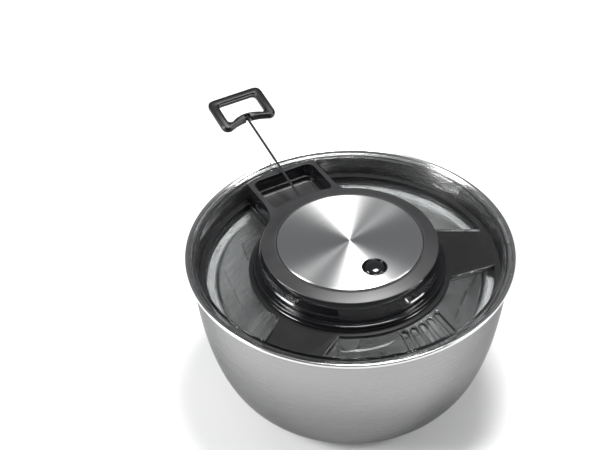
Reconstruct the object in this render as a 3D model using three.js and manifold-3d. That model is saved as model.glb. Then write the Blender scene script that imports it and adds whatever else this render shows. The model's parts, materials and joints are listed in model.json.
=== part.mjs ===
// Salad spinner with a steel bowl, a clear slotted basket and a pull-cord lid.
// Millimetres, +Z up. The origin is the centre of the bowl's flat base.
// The handle is drawn partly out on its cord, at the angle at which it is pulled.

import * as THREE from 'three';
import { mergeVertices } from 'three/addons/utils/BufferGeometryUtils.js';
import Module from 'manifold-3d';

const wasm = await Module();
wasm.setup();

// Bowl
const bowlRimRadius = 133;
const bowlHeight = 133.4;
const bowlBaseRadius = 60;
const bowlWall = 1.2;
const rimRoll = 4.8;
const lidSeatDepth = 3.7;

// Clearances
const gap = 0.3;
const slideGap = 0.6;

// Lid shell
const lidDepth = 22.4;
const lidFloorThickness = 2;
const lidWall = 1.8;
const lidWallInset = 2.5;
const lidRibHeight = 4;
const lidRibWidth = 1.4;

// Arms of the lid
const trayAzimuth = 120.5;
const rightArm = { azimuth: 11, innerHalf: 28, outerHalf: 20 };
const leftArm = { azimuth: 246, innerHalf: 24.5, outerHalf: 21.5 };
const frameThickness = 3;
const frameRimWidth = 5;

// Drain slots in the front right window
const drainCount = 5;
const drainWidth = 5;
const drainLength = 31;
const drainFirstAngle = -62.2;
const drainStep = 5.2;
const drainFirstDirection = -71;
const drainFan = 3;

// Hub
const hubRadius = 73;
const hubHeight = 27.6;
const hubWall = 2.5;
const collarRadius = hubRadius + 5;
const collarHeight = 9.5;
const plateRadius = hubRadius - 14.5;
const plateThickness = 2.2;

// Tray and handle
const handleHalfWidth = 26;
const handleLength = 33;
const handleThickness = 6.4;
const handleBar = 8;
const handleSideGap = 2.5;
const trayWall = 4.5;
const trayHalfWidth = handleHalfWidth + handleSideGap + trayWall;

// Cord
const cordDiameter = 2.2;
const cordRise = 16.7;
const cordElevation = 14;
const cordOut = 96.6;
const knotRadius = 2.1;
const windingDepth = 2.8;

// Brake button, placed by shares of the hub's radius
const buttonRadius = 8.3;
const buttonAcross = 0.26575;
const buttonForward = 0.43973;
const buttonX = buttonAcross * hubRadius;
const buttonY = -buttonForward * hubRadius;
const buttonRing = Math.hypot(buttonX, buttonY);
const buttonWell = 2.9;

// Mechanism
const shaftRadius = 3;
const drumFlange = 5.5;
const drumRadius = buttonRing - buttonRadius - buttonWell - drumFlange - 0.81;
const hubPostRadius = drumRadius - 8;
const rollerRadius = 2.2;
const rollerCount = 3;
const brakeDiscRadius = hubRadius - 28;
const springCupRadius = buttonRing - 6.5;
const screwCount = 3;
const screwFirstAngle = 60;

// Basket
const basketFloor = 12;
const basketWall = 1.8;
const basketInset = 11.2;
const basketFloorStep = 20;
const wallSlots = 18;
const floorSlots = 9;
const slotWidth = 3;
const lugCount = 3;

// Facets round a full circle
const fine = 40;
const medium = 24;

// Levels and radii that follow
const lidFloor = bowlHeight - lidDepth;
const seatLevel = bowlHeight - lidSeatDepth;
const bowlTopRadius = bowlRimRadius - rimRoll;
const lidWallRadius = bowlTopRadius - bowlWall - lidWallInset;
const lidInnerRadius = lidWallRadius - lidWall;
const trayEndRadius = lidInnerRadius - gap;
const frameTop = lidFloor + gap + frameThickness;
const hubBottom = frameTop + gap;
const trayTop = bowlHeight - 0.9;
const hubTop = lidFloor + hubHeight;
const hubInnerRadius = hubRadius - hubWall;
const frameRingRadius = collarRadius + 4;
const ceiling = hubTop - 2.3;
const plateSeat = hubTop + 0.2;
const plateBottom = plateSeat + gap;
const plateTop = plateBottom + plateThickness;
const cordLevel = lidFloor + cordRise;
const collarTop = lidFloor + collarHeight;
const screwRadius = hubInnerRadius - 5.3;
const baseWallRadius = screwRadius - 5.2;
const lidHoleRadius = baseWallRadius + 2;
const pocketWallRadius = hubRadius + 6.5;
const buttonAzimuth = THREE.MathUtils.radToDeg(Math.atan2(buttonY, buttonX));

// ---------------------------------------------------------------- helpers

const radians = THREE.MathUtils.degToRad;

function signedVolume(positions, triangles) {
  const a = new THREE.Vector3();
  const b = new THREE.Vector3();
  const c = new THREE.Vector3();
  let total = 0;
  for (let i = 0; i < triangles.length; i += 3) {
    a.fromArray(positions, 3 * triangles[i]);
    b.fromArray(positions, 3 * triangles[i + 1]);
    c.fromArray(positions, 3 * triangles[i + 2]);
    total += a.dot(b.cross(c));
  }
  return total;
}

// A closed geometry as a solid whose faces point out.
function toSolid(geometry) {
  const bare = geometry.index ? geometry.toNonIndexed() : geometry.clone();
  bare.deleteAttribute('normal');
  bare.deleteAttribute('uv');
  const merged = mergeVertices(bare, 1e-4);
  const index = merged.index.array;
  const triangles = [];
  for (let i = 0; i < index.length; i += 3) {
    const [a, b, c] = [index[i], index[i + 1], index[i + 2]];
    if (a !== b && b !== c && c !== a) triangles.push(a, b, c);
  }
  const positions = merged.attributes.position.array;
  if (signedVolume(positions, triangles) < 0) triangles.reverse();
  const vertProperties = new Float32Array(positions);
  const triVerts = new Uint32Array(triangles);
  return new wasm.Manifold(new wasm.Mesh({ numProp: 3, vertProperties, triVerts }));
}

function toGeometry(solid) {
  const { numProp, vertProperties, triVerts } = solid.getMesh();
  const positions = [];
  for (let i = 0; i < vertProperties.length; i += numProp) {
    positions.push(vertProperties[i], vertProperties[i + 1], vertProperties[i + 2]);
  }
  const geometry = new THREE.BufferGeometry();
  geometry.setAttribute('position', new THREE.Float32BufferAttribute(positions, 3));
  geometry.setIndex(Array.from(triVerts));
  geometry.computeVertexNormals();
  return geometry;
}

// A solid of revolution about Z from [radius, height] points.
function turned(outline, segments = medium) {
  const points = outline.map(([r, z]) => new THREE.Vector2(r, z));
  if (outline[0][0] > 0 || outline.at(-1)[0] > 0) points.push(points[0].clone());
  return toSolid(new THREE.LatheGeometry(points, segments).rotateX(Math.PI / 2));
}

function collarRing(inner, outer, bottom, top, segments = medium) {
  return turned([[inner, bottom], [outer, bottom], [outer, top], [inner, top]], segments);
}

// A flat shape between two levels, turned about Z.
function prism(shape, bottom, top, azimuth = 0, curveSegments = 6) {
  const options = { depth: top - bottom, bevelEnabled: false, curveSegments };
  const geometry = new THREE.ExtrudeGeometry(shape, options);
  return toSolid(geometry.translate(0, 0, bottom).rotateZ(radians(azimuth)));
}

// A box that spans two radii along an azimuth.
function radialBox(inner, outer, halfWidth, bottom, top, azimuth) {
  const geometry = new THREE.BoxGeometry(outer - inner, 2 * halfWidth, top - bottom);
  geometry.translate((inner + outer) / 2, 0, (bottom + top) / 2);
  return toSolid(geometry.rotateZ(radians(azimuth)));
}

function post(radius, x, y, bottom, top, segments = 16) {
  const geometry = new THREE.CylinderGeometry(radius, radius, top - bottom, segments);
  return toSolid(geometry.rotateX(Math.PI / 2).translate(x, y, (bottom + top) / 2));
}

function polar(radius, azimuth) {
  return [radius * Math.cos(radians(azimuth)), radius * Math.sin(radians(azimuth))];
}

function polygon(points) {
  return new THREE.Shape(points.map(([x, y]) => new THREE.Vector2(x, y)));
}

function screwAzimuths() {
  return Array.from({ length: screwCount }, (_, i) => screwFirstAngle + i * 360 / screwCount);
}

function cutScrewHoles(solid, radius, bottom, top) {
  let result = solid;
  for (const azimuth of screwAzimuths()) {
    result = result.subtract(post(radius, ...polar(screwRadius, azimuth), bottom, top, 12));
  }
  return result;
}

const spinner = new THREE.Group();

function addPiece(name, solid, color, roughness, metalness = 0, opacity = 1) {
  const material = new THREE.MeshStandardMaterial({ color, roughness, metalness });
  material.transparent = opacity < 1;
  material.opacity = opacity;
  const mesh = new THREE.Mesh(toGeometry(solid), material);
  mesh.name = name;
  spinner.add(mesh);
}

const steel = 0xc9cacc;
const charcoal = 0x2d2d2f;
const black = 0x151516;
const clear = 0xe9f0f0;
const grey = 0x8d9093;

// ---------------------------------------------------------------- bowl

// Outside radius of the bowl at a height: a shallow base that turns up into a steep wall.
function bowlOutside(height) {
  const share = Math.min(height / seatLevel, 1);
  return bowlBaseRadius + (bowlTopRadius - bowlBaseRadius) * (1 - (1 - share) ** 1.61) ** (1 / 3.79);
}

function bowl() {
  const steps = 9;
  const top = seatLevel - 1.4;
  const outside = [];
  for (let i = 0; i <= steps; i++) {
    const height = top * (i / steps) ** 2;
    outside.push(new THREE.Vector2(bowlOutside(height), height));
  }
  const inside = outside.map((point, i) => {
    const before = outside[Math.max(i - 1, 0)];
    const after = outside[Math.min(i + 1, steps)];
    const along = after.clone().sub(before).normalize();
    if (i === 0) return new THREE.Vector2(point.x, bowlWall);
    return new THREE.Vector2(point.x - along.y * bowlWall, point.y + along.x * bowlWall);
  });
  const seat = bowlRimRadius - 3.4;
  const rim = [
    [bowlRimRadius - 0.8, seatLevel - 0.3],
    [bowlRimRadius, bowlHeight - 2.2],
    [bowlRimRadius - 0.4, bowlHeight - 0.6],
    [bowlRimRadius - 1.5, bowlHeight],
    [bowlRimRadius - 2.8, bowlHeight - 0.5],
    [seat, bowlHeight - 1.8],
    [seat, seatLevel],
    [bowlTopRadius - bowlWall, seatLevel],
  ];
  const wallOut = outside.map((point) => [point.x, point.y]);
  const wallIn = inside.map((point) => [point.x, point.y]).reverse();
  return turned([[0, 0], ...wallOut, ...rim, ...wallIn, [0, bowlWall]], fine);
}

const pivotTip = basketFloor - 2.4;
const pivotFlangeTop = bowlWall + gap + 1.2;

function bowlPivot() {
  const flange = bowlWall + gap;
  return turned([[0, flange], [12, flange], [12, pivotFlangeTop], [4.6, pivotFlangeTop],
    [1.6, pivotTip], [0, pivotTip]], 24);
}

addPiece('bowl', bowl(), steel, 0.25, 1);
addPiece('bowl_pivot', bowlPivot(), steel, 0.3, 1);

// ---------------------------------------------------------------- basket

const bushRadius = 9;
const basketTop = lidFloor - 7;
const basketRimRadius = bowlTopRadius - basketInset;
const basketTopRadius = basketRimRadius - 5;
const basketFloorRadius = bowlBaseRadius + basketFloorStep;
const basketCornerRadius = basketFloorRadius + 13;

function pivotBush() {
  const top = basketFloor - gap;
  const bottom = pivotFlangeTop + 2.3;
  return turned([[0, top], [bushRadius, top], [bushRadius, bottom], [5.5, bottom],
    [2.3, pivotTip + gap], [0, pivotTip + gap]], 24);
}

function basket() {
  const boss = bushRadius + gap;
  const rim = basketTop - 2.5;
  const inside = basketFloor + 2;
  let solid = turned([
    [0, basketFloor],
    [boss, basketFloor],
    [boss, pivotFlangeTop + 2.8],
    [boss + 2.5, pivotFlangeTop + 2.8],
    [boss + 2.5, basketFloor],
    [basketFloorRadius, basketFloor],
    [basketFloorRadius + 8, basketFloor + 3],
    [basketCornerRadius, basketFloor + 10],
    [basketTopRadius, rim],
    [basketRimRadius, rim],
    [basketRimRadius, basketTop],
    [basketTopRadius - 1.5, basketTop],
    [basketTopRadius - basketWall, rim],
    [basketCornerRadius - basketWall, basketFloor + 10.8],
    [basketFloorRadius + 7, basketFloor + 4.7],
    [basketFloorRadius - 0.5, inside],
    [0, inside],
  ], fine);
  const height = basketTop - basketFloor;
  for (let i = 0; i < wallSlots; i++) {
    const azimuth = (i + 0.5) * 360 / wallSlots;
    const bottom = basketFloor + 0.25 * height;
    const top = basketFloor + 0.85 * height;
    const slot = radialBox(basketFloorRadius, basketRimRadius, slotWidth / 2, bottom, top, azimuth);
    solid = solid.subtract(slot);
  }
  for (let i = 0; i < floorSlots; i++) {
    const azimuth = (i + 0.5) * 360 / floorSlots;
    const outer = basketFloorRadius - 8;
    const slot = radialBox(28, outer, slotWidth / 2, basketFloor - 1, inside + 1, azimuth);
    solid = solid.subtract(slot);
  }
  for (let i = 0; i < lugCount; i++) {
    const outer = basketRimRadius + 1;
    const notch = radialBox(basketTopRadius + 0.3, outer, 4.6, rim - 1, basketTop + 1, i * 360 / lugCount);
    solid = solid.subtract(notch);
  }
  return solid;
}

addPiece('basket_pivot_bush', pivotBush(), grey, 0.5);
addPiece('basket', basket(), clear, 0.08, 0, 0.35);

// ---------------------------------------------------------------- clear lid and its frame

const traySide = { azimuth: trayAzimuth, innerHalf: trayHalfWidth, outerHalf: trayHalfWidth };
const arms = [traySide, rightArm, leftArm];

// The tapering outline of an arm, from the hub out past the lid's wall.
function armOutline(arm, margin, inner = 40) {
  const outer = bowlRimRadius;
  const slope = (arm.outerHalf - arm.innerHalf) / (lidInnerRadius - frameRingRadius);
  const at = (radius) => arm.innerHalf + slope * (radius - frameRingRadius) + margin;
  return polygon([[inner, -at(inner)], [outer, -at(outer)], [outer, at(outer)], [inner, at(inner)]]);
}

// A straight slot with round ends, through a point of the window at a given direction.
function drainOutline(width) {
  const straight = (drainLength - drainWidth) / 2;
  const shape = new THREE.Shape();
  shape.moveTo(-straight, -width / 2);
  shape.lineTo(straight, -width / 2);
  shape.absarc(straight, 0, width / 2, -Math.PI / 2, Math.PI / 2);
  shape.lineTo(-straight, width / 2);
  shape.absarc(-straight, 0, width / 2, Math.PI / 2, 1.5 * Math.PI);
  return shape;
}

function drain(index, width, bottom, top) {
  const middle = (frameRingRadius + lidInnerRadius - frameRimWidth) / 2;
  const [x, y] = polar(middle, drainFirstAngle + index * drainStep);
  const direction = drainFirstDirection + index * drainFan;
  const options = { depth: top - bottom, bevelEnabled: false, curveSegments: 5 };
  const geometry = new THREE.ExtrudeGeometry(drainOutline(width), options);
  return toSolid(geometry.rotateZ(radians(direction)).translate(x, y, bottom));
}

function lidShell() {
  const bottom = lidFloor - lidFloorThickness;
  const flangeTop = seatLevel + gap + 2;
  const flangeRadius = bowlRimRadius - 3.4 - gap;
  let solid = turned([
    [lidHoleRadius, bottom],
    [lidWallRadius, bottom],
    [lidWallRadius, seatLevel + gap],
    [flangeRadius, seatLevel + gap],
    [flangeRadius, flangeTop],
    [lidInnerRadius, flangeTop],
    [lidInnerRadius, lidFloor],
    [lidHoleRadius, lidFloor],
  ], fine);
  const ribTop = lidFloor + lidRibHeight;
  const ribStart = frameRingRadius + 2 * gap;
  const ribEnd = lidInnerRadius - frameRimWidth - 2 * gap;
  const window = collarRing(ribStart, ribEnd, lidFloor - 1, ribTop, fine);
  const trayRoom = prism(trayOutline(gap), lidFloor, ribTop + 1, trayAzimuth);
  for (const arm of arms) {
    const outer = prism(armOutline(arm, gap + lidRibWidth), lidFloor - 1, ribTop, arm.azimuth);
    const inner = prism(armOutline(arm, gap, 30), lidFloor - 2, ribTop + 1, arm.azimuth);
    solid = solid.add(outer.subtract(inner).intersect(window).subtract(trayRoom));
  }
  for (let i = 0; i < drainCount; i++) {
    solid = solid.add(drain(i, drainWidth + 2.2, lidFloor - 1, lidFloor + 1.6));
  }
  for (let i = 0; i < drainCount; i++) {
    solid = solid.subtract(drain(i, drainWidth, bottom - 1, lidFloor + 3));
  }
  return cutScrewHoles(solid, 1.9, bottom - 1, lidFloor + 1);
}

function lidSeal() {
  const top = lidFloor - lidFloorThickness - gap;
  const bottom = top - 2.4;
  const outer = bowlOutside(bottom) - bowlWall - 0.43;
  return collarRing(outer - 8, outer, bottom, top, fine);
}

function lidFrame() {
  const bottom = lidFloor + gap;
  const outer = lidInnerRadius - gap;
  let solid = collarRing(lidHoleRadius, frameRingRadius, bottom, frameTop, fine);
  solid = solid.add(collarRing(outer - frameRimWidth, outer, bottom, frameTop, fine));
  const reach = collarRing(lidHoleRadius, outer, bottom, frameTop, fine);
  for (const arm of arms) {
    solid = solid.add(prism(armOutline(arm, -gap), bottom, frameTop, arm.azimuth).intersect(reach));
  }
  return cutScrewHoles(solid, 1.9, bottom - 1, frameTop + 1);
}

addPiece('lid_shell', lidShell(), clear, 0.06, 0, 0.3);
addPiece('lid_seal', lidSeal(), black, 0.7);
addPiece('lid_frame', lidFrame(), charcoal, 0.45);

// ---------------------------------------------------------------- hub cover with the handle tray

const pocketEnd = trayEndRadius - trayWall - 2.3;
const ledgeLevel = lidFloor + 9.5;
const pocketFloor = lidFloor + 5;
const pocketHalfWidth = handleHalfWidth + handleSideGap;

// The tray from above: straight sides that flare into the hub.
function trayOutline(margin) {
  const half = trayHalfWidth + margin;
  const flare = half + 15;
  const start = hubRadius - 24;
  const straight = hubRadius + 14;
  const shape = new THREE.Shape();
  shape.moveTo(start, -flare);
  shape.quadraticCurveTo(hubRadius - 4, -half, straight, -half);
  shape.lineTo(bowlRimRadius, -half);
  shape.lineTo(bowlRimRadius, half);
  shape.lineTo(straight, half);
  shape.quadraticCurveTo(hubRadius - 4, half, start, flare);
  return shape;
}

// The pocket from above: its hub side follows the hub, its outer corners are round.
function pocketOutline(inset) {
  const half = pocketHalfWidth - inset;
  const end = pocketEnd - inset;
  const wall = pocketWallRadius + inset;
  const corner = 8;
  const turn = Math.asin(half / wall);
  const shape = new THREE.Shape();
  shape.moveTo(end - corner, -half);
  shape.quadraticCurveTo(end, -half, end, -half + corner);
  shape.lineTo(end, half - corner);
  shape.quadraticCurveTo(end, half, end - corner, half);
  shape.lineTo(wall * Math.cos(turn), half);
  shape.absarc(0, 0, wall, turn, -turn, true);
  return shape;
}

const wellOuter = buttonRadius + buttonWell;
const wellInner = buttonRadius + 0.4;
const wellFloor = hubTop - 11.6;
const stemRadius = 3.5;
const ringOuter = buttonRadius + 1.7;

function hubCover() {
  const side = hubRadius + 1;
  const foot = collarRadius - 5.3;
  let solid = turned([
    [0, plateSeat],
    [plateRadius + 0.4, plateSeat],
    [plateRadius + 0.4, hubTop + 2],
    [hubRadius - 2, hubTop],
    [hubRadius, hubTop - 5],
    [hubRadius, hubTop - 12.4],
    [side, hubTop - 13.6],
    [side, collarTop + gap],
    [foot, collarTop + gap],
    [foot, hubBottom],
    [hubInnerRadius, hubBottom],
    [hubInnerRadius, ceiling],
    [7, ceiling],
    [7, ceiling - 1.5],
    [shaftRadius + 0.4, ceiling - 1.5],
    [shaftRadius + 0.4, ceiling + 1.2],
    [0, ceiling + 1.2],
  ], fine);
  const reach = collarRing(hubInnerRadius + 1, trayEndRadius, hubBottom, trayTop, fine);
  const tray = prism(trayOutline(0), hubBottom, trayTop, trayAzimuth).intersect(reach);
  solid = solid.add(tray);
  for (const azimuth of screwAzimuths()) {
    solid = solid.add(post(4, ...polar(screwRadius, azimuth), hubBottom, ceiling + 1));
  }
  solid = cutScrewHoles(solid, 1.8, hubBottom - 1, hubBottom + 12);
  solid = solid.add(post(wellOuter, buttonX, buttonY, wellFloor - 2, ceiling + 1, 28));
  solid = solid.subtract(post(wellInner, buttonX, buttonY, wellFloor, plateTop, 28));
  solid = solid.subtract(post(ringOuter + gap, buttonX, buttonY, ceiling + 0.1, plateTop, 28));
  solid = solid.subtract(post(stemRadius + 0.4, buttonX, buttonY, wellFloor - 3, wellFloor + 1, 20));
  solid = solid.subtract(prism(pocketOutline(0), ledgeLevel, hubTop, trayAzimuth, 8));
  solid = solid.subtract(prism(pocketOutline(3.5), pocketFloor, hubTop, trayAzimuth, 8));
  const bore = radialRod(eyeletRadius + gap, hubInnerRadius - 1, pocketWallRadius + 3, 16);
  return solid.subtract(bore);
}

// A rod along the tray's azimuth at the cord's level.
function radialRod(radius, inner, outer, segments) {
  const geometry = new THREE.CylinderGeometry(radius, radius, outer - inner, segments);
  geometry.rotateZ(Math.PI / 2).translate((inner + outer) / 2, 0, cordLevel);
  return toSolid(geometry.rotateZ(radians(trayAzimuth)));
}

const eyeletRadius = 3.3;
const eyeletMouth = pocketWallRadius + 0.8;
const eyeletStart = hubInnerRadius + 0.6;

function cordEyelet() {
  const body = radialRod(eyeletRadius, eyeletStart, eyeletMouth, 16);
  return body.subtract(radialRod(cordDiameter / 2 + 0.6, eyeletStart - 1, eyeletMouth + 1, 12));
}

function hubCollar() {
  const bottom = hubBottom;
  const ring = collarRing(collarRadius - 5, collarRadius, bottom, collarTop, fine);
  return ring.subtract(prism(trayOutline(gap), bottom - 1, collarTop + 1, trayAzimuth));
}

function topPlate() {
  const bevel = 0.5;
  const solid = turned([[0, plateBottom], [plateRadius, plateBottom], [plateRadius, plateTop - bevel],
    [plateRadius - bevel, plateTop], [0, plateTop]], fine);
  return solid.subtract(post(ringOuter + gap, buttonX, buttonY, plateBottom - 1, plateTop + 1, 28));
}

addPiece('hub_cover', hubCover(), charcoal, 0.5);
addPiece('cord_eyelet', cordEyelet(), black, 0.3);
addPiece('hub_collar', hubCollar(), black, 0.15);
addPiece('top_plate', topPlate(), steel, 0.3, 1);

// ---------------------------------------------------------------- brake button, lever and pad

const leverTop = lidFloor + 1.6;
const leverThickness = 2.2;
const leverPinRadius = 1.5;
const leverPinRing = baseWallRadius - 7.9;
const leverPinLevel = leverTop - leverThickness / 2;
const leverHalfWidth = 4.5;
const brakeDiscTop = lidFloor - 6;

function brakeButton() {
  const top = plateTop + 2;
  const skirt = wellFloor + 4.8;
  const stemEnd = leverTop + gap;
  const outline = [
    [0, top],
    [0.55 * buttonRadius, top - 0.5],
    [0.85 * buttonRadius, top - 1.4],
    [buttonRadius, top - 2.8],
    [buttonRadius, skirt],
    [buttonRadius - 1.4, skirt],
    [buttonRadius - 1.4, skirt + 6.2],
    [stemRadius, skirt + 6.2],
    [stemRadius, stemEnd + 3],
    [1.5, stemEnd + 2],
    [1.5, stemEnd],
    [0, stemEnd],
  ];
  return turned(outline, 28).translate([buttonX, buttonY, 0]);
}

function buttonTrim() {
  const trim = collarRing(wellInner, ringOuter, ceiling + 0.1 + gap, plateTop + 0.6, 28);
  return trim.translate([buttonX, buttonY, 0]);
}

class Helix extends THREE.Curve {
  constructor(radius, bottom, top, turns) {
    super();
    Object.assign(this, { radius, bottom, top, turns });
  }
  getPoint(share, target = new THREE.Vector3()) {
    const angle = 2 * Math.PI * this.turns * share;
    const height = this.bottom + (this.top - this.bottom) * share;
    return target.set(this.radius * Math.cos(angle), this.radius * Math.sin(angle), height);
  }
}

function circle(radius, sides) {
  const corner = (_, i) => [radius * Math.cos(2 * Math.PI * i / sides), radius * Math.sin(2 * Math.PI * i / sides)];
  return polygon(Array.from({ length: sides }, corner));
}

function tube(curve, radius, steps, sides = 8) {
  const options = { steps, extrudePath: curve, bevelEnabled: false };
  return toSolid(new THREE.ExtrudeGeometry(circle(radius, sides), options));
}

function buttonSpring() {
  const wire = 0.5;
  const bottom = wellFloor + gap + wire;
  const top = wellFloor + 11 - gap - wire;
  const coil = tube(new Helix(5.2, bottom, top, 4), wire, 32, 5);
  return coil.translate([buttonX, buttonY, 0]);
}

function brakeLever() {
  const bottom = leverTop - leverThickness;
  const arm = radialBox(buttonRing - 3.6, leverPinRing, leverHalfWidth, bottom, leverTop, buttonAzimuth);
  const eye = tangentRod(3, 2 * leverHalfWidth, 16);
  const bore = tangentRod(leverPinRadius + gap, 2 * leverHalfWidth + 2, 12);
  return arm.add(eye).subtract(bore);
}

// A rod across the lever, on its pin's axis.
function tangentRod(radius, length, segments) {
  const geometry = new THREE.CylinderGeometry(radius, radius, length, segments);
  geometry.translate(leverPinRing, 0, 0);
  geometry.translate(0, 0, leverPinLevel);
  return toSolid(geometry.rotateZ(radians(buttonAzimuth)));
}

function brakePad() {
  const top = leverTop - leverThickness - gap;
  const inner = buttonRing - 2.9;
  return radialBox(inner, inner + 7.5, leverHalfWidth - 1, top - 1.1, top, buttonAzimuth);
}

addPiece('button_trim', buttonTrim(), black, 0.3);
addPiece('brake_button', brakeButton(), black, 0.1);
addPiece('button_spring', buttonSpring(), steel, 0.3, 1);
addPiece('brake_lever', brakeLever(), grey, 0.5);
addPiece('brake_lever_pin', tangentRod(leverPinRadius, 17, 12), steel, 0.3, 1);
addPiece('brake_pad', brakePad(), black, 0.9);

// ---------------------------------------------------------------- drive

const baseBottom = lidFloor - 12;
const baseFloorTop = baseBottom + 2;
const baseHole = 18.5;
const outputBottom = lidFloor - 18;
const grooveBottom = cordLevel - 3.4;
const grooveTop = cordLevel + 3.4;
const drumTop = grooveTop + 1.5;
const cupTop = grooveBottom - 1.5;
const cupBottom = lidFloor - 1.7;
const flangeRadius = drumRadius + drumFlange;

function mechanismBase() {
  const flangeTop = lidFloor - lidFloorThickness - gap;
  let solid = turned([
    [baseHole, baseBottom],
    [baseWallRadius, baseBottom],
    [baseWallRadius, flangeTop - 2],
    [hubInnerRadius - 1.5, flangeTop - 2],
    [hubInnerRadius - 1.5, flangeTop],
    [baseWallRadius - 2.5, flangeTop],
    [baseWallRadius - 2.5, baseFloorTop],
    [baseHole, baseFloorTop],
  ], medium);
  const lugInner = leverPinRing - 3;
  const lugOuter = leverPinRing + 3;
  const half = leverHalfWidth + gap + 3.4;
  const lugTop = leverPinLevel + 3;
  const both = radialBox(lugInner, lugOuter, half, baseFloorTop - 0.5, lugTop, buttonAzimuth);
  const between = radialBox(lugInner - 1, lugOuter + 1, half - 3, baseFloorTop, lugTop + 1, buttonAzimuth);
  solid = solid.add(both.subtract(between));
  solid = solid.subtract(tangentRod(leverPinRadius + gap, 2 * half + 2, 12));
  return cutScrewHoles(solid, 1.9, flangeTop - 3, flangeTop + 1);
}

function outputHub() {
  const bore = shaftRadius + 0.4;
  const neck = baseHole - 3.5;
  const flange = baseBottom - gap;
  return turned([
    [bore, outputBottom],
    [neck, outputBottom],
    [neck, flange - 1.7],
    [neck + 9, flange - 1.7],
    [neck + 9, flange],
    [neck, flange],
    [neck, brakeDiscTop - 2],
    [brakeDiscRadius, brakeDiscTop - 2],
    [brakeDiscRadius, brakeDiscTop],
    [hubPostRadius, brakeDiscTop],
    [hubPostRadius, drumTop],
    [bore, drumTop],
  ], medium);
}

function driveShaft() {
  const top = ceiling + 1.2 - gap;
  const bottom = outputBottom - gap;
  return turned([[shaftRadius, bottom], [shaftRadius, top], [0, top], [0, bottom + 8],
    [1.8, bottom + 8], [1.8, bottom]], 20);
}

function shaftWasher() {
  const top = outputBottom - 2 * gap;
  return collarRing(1.9, 7, top - 1.2, top, 24);
}

function shaftScrew() {
  const top = outputBottom - 3 * gap - 1.2;
  return turned([[0, top - 2.6], [4, top - 2.6], [5, top - 1.2], [5, top], [1.5, top],
    [1.5, top + 8], [0, top + 8]], 20);
}

const clutchRing = hubPostRadius + gap + rollerRadius;

function clutchAzimuths() {
  return Array.from({ length: rollerCount }, (_, i) => i * 360 / rollerCount);
}

function cordDrum() {
  const bore = hubPostRadius + slideGap;
  const cavity = cupTop - 1.8;
  let solid = turned([
    [bore, cupBottom],
    [bore + 1.6, cupBottom],
    [bore + 1.6, cavity],
    [springCupRadius - 1.8, cavity],
    [springCupRadius - 1.8, cupBottom],
    [springCupRadius, cupBottom],
    [springCupRadius, cupTop],
    [flangeRadius, cupTop],
    [flangeRadius, grooveBottom],
    [drumRadius, grooveBottom],
    [drumRadius, grooveTop],
    [flangeRadius, grooveTop],
    [flangeRadius, drumTop],
    [bore, drumTop],
  ], medium);
  for (const azimuth of clutchAzimuths()) {
    const [x, y] = polar(clutchRing + 0.2, azimuth);
    solid = solid.subtract(post(rollerRadius + 0.5, x, y, grooveBottom, drumTop + 1));
  }
  return solid;
}

function clutchRoller(azimuth) {
  return post(rollerRadius, ...polar(clutchRing, azimuth), grooveBottom + gap, drumTop - gap);
}

function cordWinding() {
  return collarRing(drumRadius + gap, drumRadius + windingDepth, grooveBottom + gap, grooveTop - gap, medium);
}

// A flat strip wound into a spiral.
function recoilSpring() {
  const strip = 0.8;
  const turns = 4;
  const perTurn = 12;
  const inner = hubPostRadius + slideGap + 1.6 + 1.2;
  const outer = springCupRadius - 1.8 - 1.2;
  const steps = turns * perTurn;
  const edge = (offset) => Array.from({ length: steps + 1 }, (_, i) => {
    const radius = inner + offset + (outer - inner - strip) * i / steps;
    return polar(radius, 360 * i / perTurn);
  });
  const shape = polygon([...edge(0), ...edge(strip).reverse()]);
  return prism(shape, cupBottom + 1, cupTop - 1.8 - gap);
}

function springCover() {
  return collarRing(hubPostRadius + slideGap, springCupRadius, cupBottom - 2, cupBottom - gap, medium);
}

function baseScrew(azimuth) {
  const [x, y] = polar(screwRadius, azimuth);
  const head = lidFloor - lidFloorThickness - 2 - 2 * gap;
  return turned([[0, head - 2.4], [2.4, head - 2.4], [3.2, head - 1.6], [3.2, head], [1.5, head],
    [1.5, hubBottom + 9], [0, hubBottom + 9]], 14).translate([x, y, 0]);
}

function basketCarrier() {
  const inner = baseHole - 3.2;
  const low = outputBottom + 1.9;
  const high = lidFloor - 12;
  const wallSlope = (basketTopRadius - basketCornerRadius) / (basketTop - basketFloor - 13.3);
  const rise = basketTopRadius - basketWall - wallSlope * (basketTop - 2.5 - high) - 2.6;
  const edge = basketTop + gap;
  let solid = turned([
    [inner, low],
    [baseWallRadius + 1, low],
    [baseWallRadius + 13, high],
    [rise + 1.8, high],
    [rise + 1.8, edge],
    [basketRimRadius - 1, edge],
    [basketRimRadius - 1, edge + 1.5],
    [rise, edge + 1.5],
    [rise, high + 1.8],
    [baseWallRadius + 12, high + 1.8],
    [baseWallRadius, low + 1.8],
    [inner, low + 1.8],
  ], fine);
  for (let i = 0; i < lugCount; i++) {
    const outer = basketRimRadius - 1.5;
    const lug = radialBox(basketTopRadius + 0.9, outer, 4, basketTop - 2.3, edge + 0.5, i * 360 / lugCount);
    solid = solid.add(lug);
  }
  return solid;
}

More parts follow.
